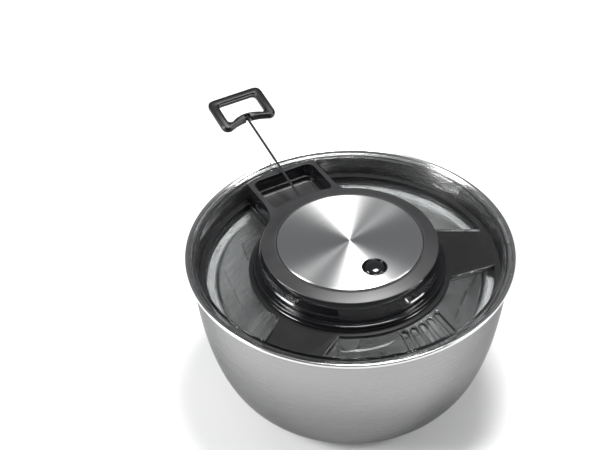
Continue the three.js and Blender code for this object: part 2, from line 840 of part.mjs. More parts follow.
addPiece('mechanism_base', mechanismBase(), black, 0.5);
addPiece('drive_shaft', driveShaft(), steel, 0.25, 1);
addPiece('shaft_washer', shaftWasher(), steel, 0.3, 1);
addPiece('shaft_screw', shaftScrew(), steel, 0.3, 1);
addPiece('output_hub', outputHub(), black, 0.45);
addPiece('basket_carrier', basketCarrier(), clear, 0.08, 0, 0.3);
addPiece('cord_drum', cordDrum(), grey, 0.5);
addPiece('cord_winding', cordWinding(), black, 0.8);
addPiece('recoil_spring', recoilSpring(), steel, 0.3, 1);
addPiece('spring_cover', springCover(), grey, 0.5);
clutchAzimuths().forEach((azimuth, i) => {
  addPiece(`clutch_roller_${i + 1}`, clutchRoller(azimuth), steel, 0.2, 1);
});
screwAzimuths().forEach((azimuth, i) => {
  addPiece(`base_screw_${i + 1}`, baseScrew(azimuth), steel, 0.3, 1);
});

// ---------------------------------------------------------------- pull cord and handle

// Inside the hub: off the winding at a tangent, then out through the eyelet.
function cordInside() {
  const leave = drumRadius + windingDepth + cordDiameter / 2 + gap;
  const mouth = eyeletStart - 1;
  const swing = THREE.MathUtils.radToDeg(Math.acos(leave / mouth));
  const start = new THREE.Vector3(...polar(leave, trayAzimuth - swing), cordLevel);
  const bend = new THREE.Vector3(...polar(mouth, trayAzimuth), cordLevel);
  const end = new THREE.Vector3(...polar(eyeletMouth, trayAzimuth), cordLevel);
  const middle = bend.clone().lerp(end, 0.3);
  const near = bend.clone().lerp(start, 0.12);
  const path = new THREE.CatmullRomCurve3([start, start.clone().lerp(near, 0.5), near, middle, end]);
  return tube(path, cordDiameter / 2, 20);
}

// The frame in which the handle is drawn: X runs out along the cord, Y across, Z up.
function onCord(geometry, along) {
  const start = new THREE.Matrix4().makeRotationZ(radians(trayAzimuth));
  start.multiply(new THREE.Matrix4().makeTranslation(eyeletMouth + gap, 0, cordLevel));
  start.multiply(new THREE.Matrix4().makeRotationY(radians(-cordElevation)));
  start.multiply(new THREE.Matrix4().makeTranslation(along, 0, 0));
  return toSolid(geometry.applyMatrix4(start));
}

function pullCord() {
  const path = new THREE.LineCurve3(new THREE.Vector3(0, 0, 0), new THREE.Vector3(cordOut, 0, 0));
  const options = { steps: 18, extrudePath: path, bevelEnabled: false };
  return onCord(new THREE.ExtrudeGeometry(circle(cordDiameter / 2, 8), options), 0);
}

const knotAlong = cordOut + gap + knotRadius;
const handleStart = knotAlong - 3;

// A loop whose cord side follows the hub's curve.
function handleOutline(inset) {
  const half = handleHalfWidth - inset;
  const bow = 4.3;
  const back = handleLength - inset;
  const corner = 7 - 0.4 * inset;
  const shape = new THREE.Shape();
  shape.moveTo(inset - bow + corner, -half);
  shape.lineTo(back - corner, -half);
  shape.quadraticCurveTo(back, -half, back, -half + corner);
  shape.lineTo(back, half - corner);
  shape.quadraticCurveTo(back, half, back - corner, half);
  shape.lineTo(inset - bow + corner, half);
  shape.quadraticCurveTo(inset - bow, half, inset - bow + 0.3, half - corner);
  shape.quadraticCurveTo(inset + bow, 0, inset - bow + 0.3, -half + corner);
  shape.quadraticCurveTo(inset - bow, -half, inset - bow + corner, -half);
  return shape;
}

function pullHandle() {
  const chamfer = 1.6;
  const outer = handleOutline(chamfer);
  outer.holes.push(handleOutline(handleBar - chamfer));
  const options = {
    depth: handleThickness - 2 * chamfer,
    bevelEnabled: true,
    bevelThickness: chamfer,
    bevelSize: chamfer,
    bevelSegments: 1,
    curveSegments: 6,
  };
  const loop = new THREE.ExtrudeGeometry(outer, options);
  const solid = onCord(loop.translate(0, 0, chamfer - handleThickness / 2), handleStart);
  const notch = new THREE.BoxGeometry(8, 2 * knotRadius + 1, handleThickness + 2);
  return solid.subtract(onCord(notch, handleStart + 1.7));
}

function cordKnot() {
  return onCord(new THREE.SphereGeometry(knotRadius, 12, 8), knotAlong);
}

addPiece('cord_inside', cordInside(), black, 0.8);
addPiece('pull_cord', pullCord(), black, 0.8);
addPiece('cord_knot', cordKnot(), black, 0.8);
addPiece('pull_handle', pullHandle(), black, 0.3);

export default spinner;
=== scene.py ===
import json
import math

import bmesh
import bpy
from mathutils import Matrix, Vector


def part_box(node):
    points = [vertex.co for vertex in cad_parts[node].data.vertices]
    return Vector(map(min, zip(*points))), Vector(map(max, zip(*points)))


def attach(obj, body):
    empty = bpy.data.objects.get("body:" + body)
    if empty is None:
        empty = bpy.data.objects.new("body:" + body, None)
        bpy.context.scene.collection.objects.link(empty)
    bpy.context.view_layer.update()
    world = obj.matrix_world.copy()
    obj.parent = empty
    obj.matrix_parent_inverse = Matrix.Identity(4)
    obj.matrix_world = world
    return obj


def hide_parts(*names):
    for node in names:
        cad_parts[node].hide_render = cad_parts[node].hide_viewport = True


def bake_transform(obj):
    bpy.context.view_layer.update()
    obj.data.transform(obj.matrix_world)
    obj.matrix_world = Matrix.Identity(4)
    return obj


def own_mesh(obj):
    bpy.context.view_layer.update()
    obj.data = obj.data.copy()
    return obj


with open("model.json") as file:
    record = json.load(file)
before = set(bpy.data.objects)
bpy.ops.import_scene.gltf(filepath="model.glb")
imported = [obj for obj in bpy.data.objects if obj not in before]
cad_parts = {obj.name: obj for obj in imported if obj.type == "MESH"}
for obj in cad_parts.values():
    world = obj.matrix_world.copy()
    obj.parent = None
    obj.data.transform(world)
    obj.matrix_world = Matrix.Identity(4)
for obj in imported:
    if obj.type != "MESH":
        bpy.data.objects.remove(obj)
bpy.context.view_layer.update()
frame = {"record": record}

bl_info = {
    "name": "Pull-cord salad spinner",
    "version": (1, 0, 0),
    "blender": (4, 5, 0),
    "location": "3D View > Sidebar > Spinner",
    "description": "Steel bowl, slotted basket and pull-cord lid, built piece by piece",
    "category": "Object",
}

MM = 0.001
FULL = 2 * math.pi
# The room between pieces that fit together.
GAP = 0.3 * MM
# Steps round a turn, as a share of the size that a user may change.
FINE, MIDDLE, COARSE = 1.25, 0.75, 0.5

# ------------------------------------------------------------- places taken from the frame

rim_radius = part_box("bowl")[1][0]
bowl_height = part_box("bowl")[1][2]
lid_floor_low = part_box("lid_shell")[0][2]
lid_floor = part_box("lid_frame")[0][2] - GAP
frame_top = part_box("lid_frame")[1][2]
flange_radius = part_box("lid_shell")[1][0]
flange_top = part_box("lid_shell")[1][2]
seat_level = bowl_height - 3.7 * MM
bowl_wall = 1.2 * MM
wall_top_radius = rim_radius - 4.8 * MM
lid_wall_radius = wall_top_radius - bowl_wall - 2.5 * MM
lid_inner_radius = lid_wall_radius - 1.8 * MM
hub_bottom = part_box("hub_cover")[0][2]
plate_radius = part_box("top_plate")[1][0]
plate_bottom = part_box("top_plate")[0][2]
plate_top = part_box("top_plate")[1][2]
hub_top = plate_bottom - 0.5 * MM
collar_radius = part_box("hub_collar")[1][0]
collar_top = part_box("hub_collar")[1][2]
hub_radius = collar_radius - 5 * MM
tray_top = bowl_height - 0.9 * MM
button_low, button_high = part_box("brake_button")
button_x = (button_low[0] + button_high[0]) / 2
button_y = (button_low[1] + button_high[1]) / 2
button_radius = (button_high[0] - button_low[0]) / 2
basket_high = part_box("basket")[1]
basket_rim_radius = basket_high[1]
TRAY_AZIMUTH = math.radians(120.5)
CORD_ELEVATION = math.radians(14)
cord_level = lid_floor + 16.7 * MM
pit_floor = lid_floor + 5 * MM
pocket_ledge = lid_floor + 9.5 * MM
ring_radius = collar_radius + 4 * MM
LUGS = 3
DRAINS = 5
HUB_HOLE = 62 * MM
SCREW_RING = 65.2 * MM
TRAY_HALF = 33 * MM
POCKET_HALF = 28.5 * MM
HANDLE_HALF = 26 * MM
HANDLE_LENGTH = 33 * MM
KNOT_RADIUS = 2.1 * MM
CORD_OUT = 96.6 * MM
EYELET_MOUTH = hub_radius + 7.3 * MM
# Each arm has its azimuth and its half width at the ring and at the lid's wall.
ARMS = ((TRAY_AZIMUTH, TRAY_HALF, TRAY_HALF), (math.radians(11), 28 * MM, 20 * MM),
        (math.radians(246), 24.5 * MM, 21.5 * MM))
SCREW_AZIMUTHS = [math.radians(60 + 120 * i) for i in range(3)]
# Lays a shape that was drawn from above on its side, so that its height runs outwards.
OUTWARDS = Matrix(((0, 0, 1, 0), (1, 0, 0, 0), (0, 1, 0, 0), (0, 0, 0, 1)))


def joint(name):
    return next(j for j in frame["record"]["behaviour"]["joints"] if j["name"] == name)


cord_axis = Vector(joint("cord_pull")["axis"])


# ------------------------------------------------------------- sizes and colours a user may change

def length(name, description, value):
    return bpy.props.FloatProperty(name=name, description=description, default=value, unit="LENGTH",
                                   precision=5)


def colour(name, description, value):
    return bpy.props.FloatVectorProperty(name=name, description=description, default=value,
                                         size=3, min=0.0, max=1.0, subtype="COLOR")


class SpinnerSizes(bpy.types.PropertyGroup):
    """Sizes of the finished shapes"""
    rim_bead: length("Rim bead", "Rounding of the bowl's rolled rim", 0.9 * MM)
    edge: length("Edge rounding", "Rounding of the moulded lid parts", 0.5 * MM)
    slot_width: length("Basket slot width", "Width of one slot in the basket", 3 * MM)
    drain_width: length("Drain slot width", "Width of one drain slot in the lid", 5 * MM)
    handle_bar: length("Handle bar", "Width of the handle's bars", 8 * MM)
    cord_diameter: length("Cord diameter", "Diameter of the pull cord", 2.2 * MM)
    facets: bpy.props.IntProperty(name="Facets", description="Steps round a turned piece", default=128,
                                  min=32, max=256)


class SpinnerColours(bpy.types.PropertyGroup):
    """Base colours of the materials"""
    steel: colour("Steel", "Satin steel of the bowl", (0.3, 0.3, 0.3))
    plate: colour("Plate", "Brushed steel of the hub's plate", (0.74, 0.74, 0.74))
    charcoal: colour("Charcoal", "Moulded lid parts", (0.024, 0.024, 0.025))
    black: colour("Black", "Glossy black parts", (0.006, 0.006, 0.007))
    clear: colour("Clear", "Clear moulded plastic", (0.985, 0.985, 0.985))
    bearing: colour("Bearing grey", "Inner moulded parts", (0.3, 0.31, 0.32))
    floor: colour("Floor", "Studio floor", (0.86, 0.86, 0.86))


def sizes():
    return bpy.context.scene.spinner_sizes


def colours():
    return bpy.context.scene.spinner_colours


# ------------------------------------------------------------- outlines

def arc(start, middle, end, steps=6):
    """Points of a curve that leaves start towards middle and comes to end."""
    return [start * (1 - t) ** 2 + middle * 2 * t * (1 - t) + end * t ** 2
            for t in [k / steps for k in range(steps + 1)]]


def rounded(corners, closed=True, steps=4):
    """Points of an outline whose corners are (x, y) or (x, y, radius)."""
    points = []
    count = len(corners)
    for i, corner in enumerate(corners):
        here = Vector(corner[:2])
        radius = corner[2] if len(corner) > 2 else 0
        if radius == 0 or (not closed and i in (0, count - 1)):
            points.append(here)
            continue
        before = Vector(corners[i - 1][:2]) - here
        after = Vector(corners[(i + 1) % count][:2]) - here
        half = before.angle(after) / 2
        cut = min(radius / math.tan(half), 0.45 * before.length, 0.45 * after.length)
        points += arc(here + before.normalized() * cut, here, here + after.normalized() * cut, steps)
    return points


def polar(radius, azimuth):
    return Vector((radius * math.cos(azimuth), radius * math.sin(azimuth)))


def circle(radius, sides):
    return [polar(radius, FULL * i / sides) for i in range(sides)]


def turned_about_z(points, azimuth):
    c, s = math.cos(azimuth), math.sin(azimuth)
    return [Vector((c * p.x - s * p.y, s * p.x + c * p.y)) for p in points]


# ------------------------------------------------------------- modelling by hand

def deselect():
    if bpy.context.object and bpy.context.object.mode != "OBJECT":
        bpy.ops.object.mode_set(mode="OBJECT")
    for obj in list(bpy.context.selected_objects):
        obj.select_set(False)


def take(obj):
    deselect()
    obj.select_set(True)
    bpy.context.view_layer.objects.active = obj


def edit(obj):
    take(obj)
    bpy.ops.object.mode_set(mode="EDIT")
    bpy.ops.mesh.select_mode(type="VERT")


def leave():
    bpy.ops.object.mode_set(mode="OBJECT")


def select_all():
    bpy.ops.mesh.select_all(action="SELECT")


def place_applied():
    bpy.ops.object.transform_apply(location=True, rotation=True, scale=True)


def apply_modifier(obj, kind, **settings):
    bpy.ops.object.modifier_add(type=kind)
    modifier = obj.modifiers[-1]
    for key, value in settings.items():
        setattr(modifier, key, value)
    bpy.ops.object.modifier_apply(modifier=modifier.name)


def select_points(obj, test):
    mesh = bmesh.from_edit_mesh(obj.data)
    for vert in mesh.verts:
        vert.select_set(bool(test(vert.co)))
    mesh.select_flush_mode()
    bmesh.update_edit_mesh(obj.data)


def draw_line(name, points):
    """A plane is merged to one point, and the line is extruded from it, point by point."""
    deselect()
    bpy.ops.mesh.primitive_plane_add(size=MM, location=points[0])
    obj = bpy.context.object
    obj.name = name
    obj.data.name = name
    place_applied()
    edit(obj)
    select_all()
    bpy.ops.mesh.merge(type="CENTER")
    for before, after in zip(points, points[1:]):
        bpy.ops.mesh.extrude_region_move(TRANSFORM_OT_translate={"value": Vector(after) - Vector(before)})
    return obj


def tidy_mesh():
    select_all()
    bpy.ops.mesh.remove_doubles(threshold=2e-6)
    bpy.ops.mesh.dissolve_degenerate(threshold=1e-7)
    select_all()
    bpy.ops.mesh.normals_make_consistent(inside=False)


def spun(name, outline, fineness=1, centre=(0, 0)):
    """An outline of (radius, height) spun about an upright axis. It closes on itself or on the axis."""
    points = [Vector((p[0], 0, p[1])) for p in outline]
    if points[0].x > 0 or points[-1].x > 0:
        points.append(points[0])
    obj = draw_line(name, points)
    select_all()
    steps = round(fineness * sizes().facets)
    bpy.ops.mesh.spin(steps=steps, angle=FULL, center=(0, 0, 0), axis=(0, 0, 1))
    tidy_mesh()
    if centre != (0, 0):
        select_all()
        bpy.ops.transform.translate(value=(centre[0], centre[1], 0))
    leave()
    return obj


def slab(name, outline, low, high):
    """A flat outline filled and extruded from one level to another."""
    obj = draw_line(name, [Vector((p[0], p[1], low)) for p in outline])
    select_all()
    bpy.ops.mesh.edge_face_add()
    bpy.ops.mesh.extrude_region_move(TRANSFORM_OT_translate={"value": (0, 0, high - low)})
    tidy_mesh()
    leave()
    return obj


def radial_slab(name, inner, outer, half, low, high, azimuth, round_by=0):
    corners = [(inner, -half, round_by), (outer, -half, round_by), (outer, half, round_by),
               (inner, half, round_by)]
    return slab(name, turned_about_z(rounded(corners), azimuth), low, high)


def rod(name, radius, place, low, high, sides=32):
    return slab(name, [p + Vector(place) for p in circle(radius, sides)], low, high)


def disc(name, radius, low, high, fineness=1):
    return spun(name, [(0, low), (radius, low), (radius, high), (0, high)], fineness)


def ring(name, inner, outer, low, high, fineness=1):
    return spun(name, [(inner, low), (outer, low), (outer, high), (inner, high)], fineness)


def merged(name, parts):
    """Pieces that don't touch, as one object."""
    take(parts[0])
    for part in parts:
        part.select_set(True)
    if len(parts) > 1:
        bpy.ops.object.join()
    parts[0].name = name
    return parts[0]


def combine(obj, other, operation):
    take(obj)
    apply_modifier(obj, "BOOLEAN", operation=operation, solver="EXACT", object=other)
    take(other)
    bpy.ops.object.delete()
    take(obj)
    return obj


def cut(obj, other):
    return combine(obj, other, "DIFFERENCE")


def add(obj, other):
    return combine(obj, other, "UNION")


def keep_inside(obj, other):
    return combine(obj, other, "INTERSECT")


def soften(obj, width, segments=2, angle=40):
    """Rounds the sharp edges."""
    edit(obj)
    tidy_mesh()
    leave()
    apply_modifier(obj, "BEVEL", width=width, segments=segments, limit_method="ANGLE",
                   angle_limit=math.radians(angle), use_clamp_overlap=True)
    return obj


def bevel_edges_at(obj, level, offset, segments):
    """Rounds the sharp edges that lie flat at a level."""
    edit(obj)
    bpy.ops.mesh.select_mode(type="EDGE")
    mesh = bmesh.from_edit_mesh(obj.data)
    for line in mesh.edges:
        at_level = all(abs(v.co.z - level) < 0.01 * MM for v in line.verts)
        line.select_set(at_level and line.calc_face_angle(0) > math.radians(50))
    bmesh.update_edit_mesh(obj.data)
    bpy.ops.mesh.bevel(offset=offset, segments=segments, affect="EDGES")
    leave()


def screw_holes(obj, low, high, radius=1.9 * MM, sides=20):
    for azimuth in SCREW_AZIMUTHS:
        cut(obj, rod("screw_hole", radius, polar(SCREW_RING, azimuth), low, high, sides))


def put(obj, matrix):
    """Moves a finished shape to its place and applies the move."""
    take(obj)
    obj.matrix_world = matrix @ obj.matrix_world
    place_applied()
    return obj


def finish_piece(obj, name, body, slot, node_name, smooth=32, finish=None):
    """Names, shades and paints a piece, ties it to its body, and hides the frame's node that it stands for.
    """
    take(obj)
    place_applied()
    bpy.ops.object.shade_smooth_by_angle(angle=math.radians(smooth))
    obj.name = name
    obj.data.name = name
    obj.data.materials.clear()
    obj.data.materials.append(FINISHES[finish or slot])
    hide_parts(node_name)
    if body:
        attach(obj, body)
    return obj


# ------------------------------------------------------------- materials

def new_material(name):
    material = bpy.data.materials.new(name)
    material.use_nodes = True
    return material, material.node_tree, material.node_tree.nodes["Principled BSDF"]


def give(target, values):
    """Sets values on a node's own sockets."""
    for key, value in values.items():
        target.inputs[key].default_value = value


def node(tree, kind, links=(), values=(), **settings):
    """Adds a node, with what comes into its sockets."""
    made = tree.nodes.new(kind)
    for key, value in settings.items():
        setattr(made, key, value)
    give(made, dict(values))
    for socket, source in dict(links).items():
        tree.links.new(source, made.inputs[socket])
    return made


def object_place(tree, scale=(1, 1, 1), rotation=(0, 0, 0)):
    """The surface's own place, in metres, stretched and turned."""
    place = node(tree, "ShaderNodeTexCoord").outputs["Object"]
    return node(tree, "ShaderNodeMapping", {"Vector": place},
                {"Scale": scale, "Rotation": rotation}).outputs["Vector"]


def noise(tree, place, scale, detail=3.0, roughness=0.55):
    return node(tree, "ShaderNodeTexNoise", {"Vector": place},
                {"Scale": scale, "Detail": detail, "Roughness": roughness}).outputs["Fac"]


def spread(tree, value, low, high):
    """A value that stays about 0.5 as one between low and high."""
    return node(tree, "ShaderNodeMapRange", {"Value": value},
                {"From Min": 0.3, "From Max": 0.7, "To Min": low, "To Max": high}).outputs["Result"]


def shade(base, factor):
    return tuple(min(1.0, c * factor) for c in base)


def colour_of(tree, shader, value, base, dark, light):
    """Colours a shader between a darker and a lighter shade of its base."""
    ramp = node(tree, "ShaderNodeValToRGB", {"Fac": value})
    for element, position, factor in zip(ramp.color_ramp.elements, (0.3, 0.7), (dark, light)):
        element.position = position
        element.color = (*shade(base, factor), 1)
    tree.links.new(ramp.outputs["Color"], shader.inputs["Base Color"])


def raised(tree, shader, height, distance, strength=0.5):
    bump = node(tree, "ShaderNodeBump", {"Height": height}, {"Distance": distance, "Strength": strength})
    tree.links.new(bump.outputs["Normal"], shader.inputs["Normal"])


def polished_round(tree, shader, amount):
    """Stretches highlights across lines that run round the upright axis."""
    give(shader, {"Anisotropic": amount, "Anisotropic Rotation": 0.25})
    tangent = node(tree, "ShaderNodeTangent", direction_type="RADIAL", axis="Z")
    tree.links.new(tangent.outputs["Tangent"], shader.inputs["Tangent"])


def satin_steel(name, base, rough, grain, turned=True):
    """Steel polished in fine lines that run round the upright axis."""
    material, tree, shader = new_material(name)
    lines = noise(tree, object_place(tree, (6, 6, grain)), 1.0, 4.0)
    cloud = noise(tree, object_place(tree), 18.0, 2.0)
    shader.inputs["Metallic"].default_value = 1.0
    colour_of(tree, shader, lines, base, 0.95, 1.04)
    uneven = node(tree, "ShaderNodeMath", {0: spread(tree, lines, -0.015, 0.015),
                                           1: spread(tree, cloud, rough - 0.015, rough + 0.015)})
    tree.links.new(uneven.outputs["Value"], shader.inputs["Roughness"])
    if turned:
        polished_round(tree, shader, 0.8)
        shader.inputs["Specular Tint"].default_value = (0.45, 0.45, 0.46, 1)
    raised(tree, shader, lines, 0.01 * MM, 0.06)
    return material


def disc_steel(name, base):
    """Steel brushed in circles, which gathers light into sectors that meet at the centre."""
    material, tree, shader = new_material(name)
    place = node(tree, "ShaderNodeTexCoord").outputs["Object"]
    x, y, _ = node(tree, "ShaderNodeSeparateXYZ", {"Vector": place}).outputs
    flat = node(tree, "ShaderNodeCombineXYZ", {"X": x, "Y": y})
    radius = node(tree, "ShaderNodeVectorMath", {0: flat.outputs["Vector"]}, operation="LENGTH")
    angle = node(tree, "ShaderNodeMath", {0: y, 1: x}, operation="ARCTAN2")
    stretched = node(tree, "ShaderNodeMath", {0: radius.outputs["Value"]}, {1: 2600.0},
                     operation="MULTIPLY")
    turn = node(tree, "ShaderNodeCombineXYZ", {"X": stretched.outputs["Value"],
                                               "Y": angle.outputs["Value"]})
    lines = noise(tree, turn.outputs["Vector"], 1.0, 3.0)
    shader.inputs["Metallic"].default_value = 1.0
    polished_round(tree, shader, 0.9)
    colour_of(tree, shader, lines, base, 0.955, 1.03)
    tree.links.new(spread(tree, lines, 0.3, 0.34), shader.inputs["Roughness"])
    raised(tree, shader, lines, 0.006 * MM, 0.1)
    return material


def moulded(name, base, rough, grain=2400.0, depth=0.02, coat=0.0, gloss=0.5):
    """Moulded plastic with a fine spark-eroded grain and slightly uneven gloss."""
    material, tree, shader = new_material(name)
    fine = noise(tree, object_place(tree), grain, 2.0)
    broad = noise(tree, object_place(tree), 30.0, 3.0)
    colour_of(tree, shader, broad, base, 0.88, 1.12)
    tree.links.new(spread(tree, broad, rough - 0.04, rough + 0.05), shader.inputs["Roughness"])
    give(shader, {"Specular IOR Level": gloss, "Coat Weight": coat, "Coat Roughness": 0.05})
    raised(tree, shader, fine, depth * MM, 0.35)
    return material


def clear_plastic(name, base, haze=0.0):
    """Clear plastic that lets lamps through to what it covers, and may be a little milky."""
    material, tree, shader = new_material(name)
    wave = noise(tree, object_place(tree), 9.0, 1.0)
    give(shader, {"Base Color": (*base, 1), "Transmission Weight": 1.0 - haze, "IOR": 1.49})
    tree.links.new(spread(tree, wave, 0.0, 0.02), shader.inputs["Roughness"])
    to_lamp = node(tree, "ShaderNodeLightPath").outputs["Is Shadow Ray"]
    see_through = node(tree, "ShaderNodeBsdfTransparent", (), {"Color": (0.92, 0.93, 0.93, 1)})
    mix = node(tree, "ShaderNodeMixShader", {"Fac": to_lamp, 1: shader.outputs["BSDF"],
                                             2: see_through.outputs["BSDF"]})
    tree.links.new(mix.outputs["Shader"], tree.nodes["Material Output"].inputs["Surface"])
    return material


def braid(name, base, axis):
    """Twisted strands that run along a straight cord."""
    material, tree, shader = new_material(name)
    turn = Vector((0, 0, 1)).rotation_difference(axis).inverted().to_euler()
    strands = node(tree, "ShaderNodeTexWave", {"Vector": object_place(tree, rotation=turn)},
                   {"Scale": 300.0, "Distortion": 0.6},
                   wave_type="BANDS", bands_direction="DIAGONAL").outputs["Fac"]
    colour_of(tree, shader, strands, base, 1.0, 1.8)
    tree.links.new(spread(tree, strands, 0.75, 0.55), shader.inputs["Roughness"])
    shader.inputs["Specular IOR Level"].default_value = 0.25
    raised(tree, shader, strands, 0.12 * MM, 0.6)
    return material


FINISHES = {}


def make_finishes():
    c = colours()
    FINISHES.update(
        bowl_steel=satin_steel("bowl_satin_steel", c.steel, 0.27, 2200.0),
        rim_steel=satin_steel("rim_polished_steel", shade(c.steel, 2.1), 0.2, 500.0, turned=False),
        plate_steel=disc_steel("plate_brushed_steel", c.plate),
        small_steel=satin_steel("bright_small_steel", shade(c.steel, 2.13), 0.2, 2500.0, turned=False),
        charcoal_plastic=moulded("charcoal_moulding", c.charcoal, 0.37, 1800.0, 0.03),
        frame_plastic=moulded("charcoal_frame", shade(c.charcoal, 0.5), 0.42, depth=0.01, gloss=0.12),
        black_gloss=moulded("gloss_black", c.black, 0.12, 400.0, 0.004, coat=0.6),
        # The handle's own black; the hub's pocket also gets it as painted shade.
        handle_plastic=moulded("black_handle_and_pocket_shade", shade(c.black, 0.7), 0.34, 2600.0, 0.015, gloss=0.3),
        seal_rubber=moulded("seal_rubber", shade(c.black, 1.6), 0.62, 1500.0, 0.03),
        mechanism_black=moulded("mechanism_black", shade(c.black, 2.0), 0.5),
        bearing_plastic=moulded("bearing_grey", c.bearing, 0.45),
        clear_plastic=clear_plastic("clear_lid_plastic", c.clear),
        basket_plastic=clear_plastic("clear_basket_plastic", shade(c.clear, 0.94), 0.12),
        cord_fibre=braid("cord_braid", c.black, cord_axis),
    )


# ------------------------------------------------------------- cord and handle

def cord_frame():
    """X runs out along the cord, Y across it, Z up, from where the cord leaves the eyelet."""
    start = polar(EYELET_MOUTH + GAP, TRAY_AZIMUTH)
    return (Matrix.Translation((start.x, start.y, cord_level))
            @ Matrix.Rotation(TRAY_AZIMUTH, 4, "Z")
            @ Matrix.Rotation(-CORD_ELEVATION, 4, "Y"))


def handle_outline(inset):
    """A loop whose cord side follows the hub's curve."""
    half = HANDLE_HALF - inset
    bow = 4.3 * MM
    back = HANDLE_LENGTH - inset
    corner = 7 * MM - 0.4 * inset
    front = inset - bow
    waist = Vector((front + 0.3 * MM, half - corner))
    down = Vector((1, -1))
    upper = arc(Vector((back, half - corner)), Vector((back, half)), Vector((back - corner, half)))
    upper += arc(Vector((front + corner, half)), Vector((front, half)), waist)
    lower = [p * down for p in reversed(upper)]
    return upper + arc(waist, Vector((inset + bow, 0)), waist * down, 12)[1:-1] + lower


class OBJECT_OT_spinner_cord(bpy.types.Operator):
    """Model the taut pull cord and the knot at its end"""
    bl_idname = "object.spinner_cord"
    bl_label = "Pull cord"

    def execute(self, context):
        radius = sizes().cord_diameter / 2
        place = cord_frame()
        deselect()
        bpy.ops.mesh.primitive_circle_add(vertices=16, radius=radius, fill_type="NGON")
        cord = bpy.context.object
        edit(cord)
        select_all()
        bpy.ops.mesh.extrude_region_move(TRANSFORM_OT_translate={"value": (0, 0, CORD_OUT)})
        tidy_mesh()
        leave()
        put(cord, place @ Matrix.Rotation(math.radians(90), 4, "Y"))
        finish_piece(cord, "pull_cord_braided", None, "cord_fibre", "pull_cord", 60)

        deselect()
        bpy.ops.mesh.primitive_uv_sphere_add(segments=20, ring_count=12, radius=KNOT_RADIUS)
        knot = bpy.context.object
        edit(knot)
        for side in (-1, 1):
            select_points(knot, lambda p: side * p.x > 0.35 * KNOT_RADIUS)
            bpy.ops.transform.resize(value=(1.0, 0.82, 0.82))
        select_points(knot, lambda p: abs(p.x) < 0.2 * KNOT_RADIUS)
        bpy.ops.transform.resize(value=(1.0, 1.06, 1.06))
        leave()
        along = CORD_OUT + GAP + KNOT_RADIUS
        put(knot, place @ Matrix.Translation((along, 0, 0)) @ Matrix.Rotation(0.5, 4, "X"))
        finish_piece(knot, "cord_stopper_knot", "cord_end", "cord_fibre", "cord_knot", 60)

        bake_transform(cord)
        return {"FINISHED"}


class OBJECT_OT_spinner_handle(bpy.types.Operator):
    """Model the loop handle with its chamfered bars and the notch for the knot"""
    bl_idname = "object.spinner_handle"
    bl_label = "Pull handle"

    def execute(self, context):
        thickness = 6.4 * MM
        bar = sizes().handle_bar
        loop = slab("loop", handle_outline(0), -thickness / 2, thickness / 2)
        soften(loop, 1.7 * MM, 1, 60)
        cut(loop, slab("opening", handle_outline(bar), -thickness, thickness))
        facet = 1.5 * MM
        for side in (-1, 1):
            mouth = slab("mouth", handle_outline(bar - facet), 0, facet)
            edit(mouth)
            select_points(mouth, lambda p: p.z < 0.1 * MM)
            narrow = (HANDLE_LENGTH - bar) / (HANDLE_LENGTH - bar + facet)
            bpy.ops.transform.resize(value=(narrow, narrow, 1), center_override=(12 * MM, 0, 0))
            leave()
            put(mouth, Matrix.Translation((0, 0, thickness / 2 - facet + 0.01 * MM)))
            if side < 0:
                put(mouth, Matrix.Rotation(math.pi, 4, "X"))
            cut(loop, mouth)
        cut(loop, radial_slab("notch", -2.3 * MM, 5.7 * MM, 2.6 * MM, -thickness, thickness, 0))
        soften(loop, 0.35 * MM, 2, 32)
        along = CORD_OUT + GAP + KNOT_RADIUS - 3 * MM
        put(loop, cord_frame() @ Matrix.Translation((along, 0, 0)))
        finish_piece(loop, "loop_handle", "handle", "handle_plastic", "pull_handle", 24)
        return {"FINISHED"}


# ------------------------------------------------------------- studio

VIEW_TARGET = Vector((0, 0, 0.0753))
VIEW_ELEVATION = math.radians(43.02)
VIEW_DISTANCE = 1.2
VIEW_LENS = 86.58
VIEW_PAN = math.radians(1.977)
VIEW_TILT = math.radians(2.999)


def soft_lamp(name, place, aim, width, height, power):
    lamp = bpy.data.lights.new(name, "AREA")
    lamp.shape = "RECTANGLE"
    lamp.size = width
    lamp.size_y = height
    lamp.energy = power
    obj = bpy.data.objects.new(name, lamp)
    obj.location = place
    obj.rotation_euler = (Vector(aim) - Vector(place)).to_track_quat("-Z", "Y").to_euler()
    bpy.context.scene.collection.objects.link(obj)


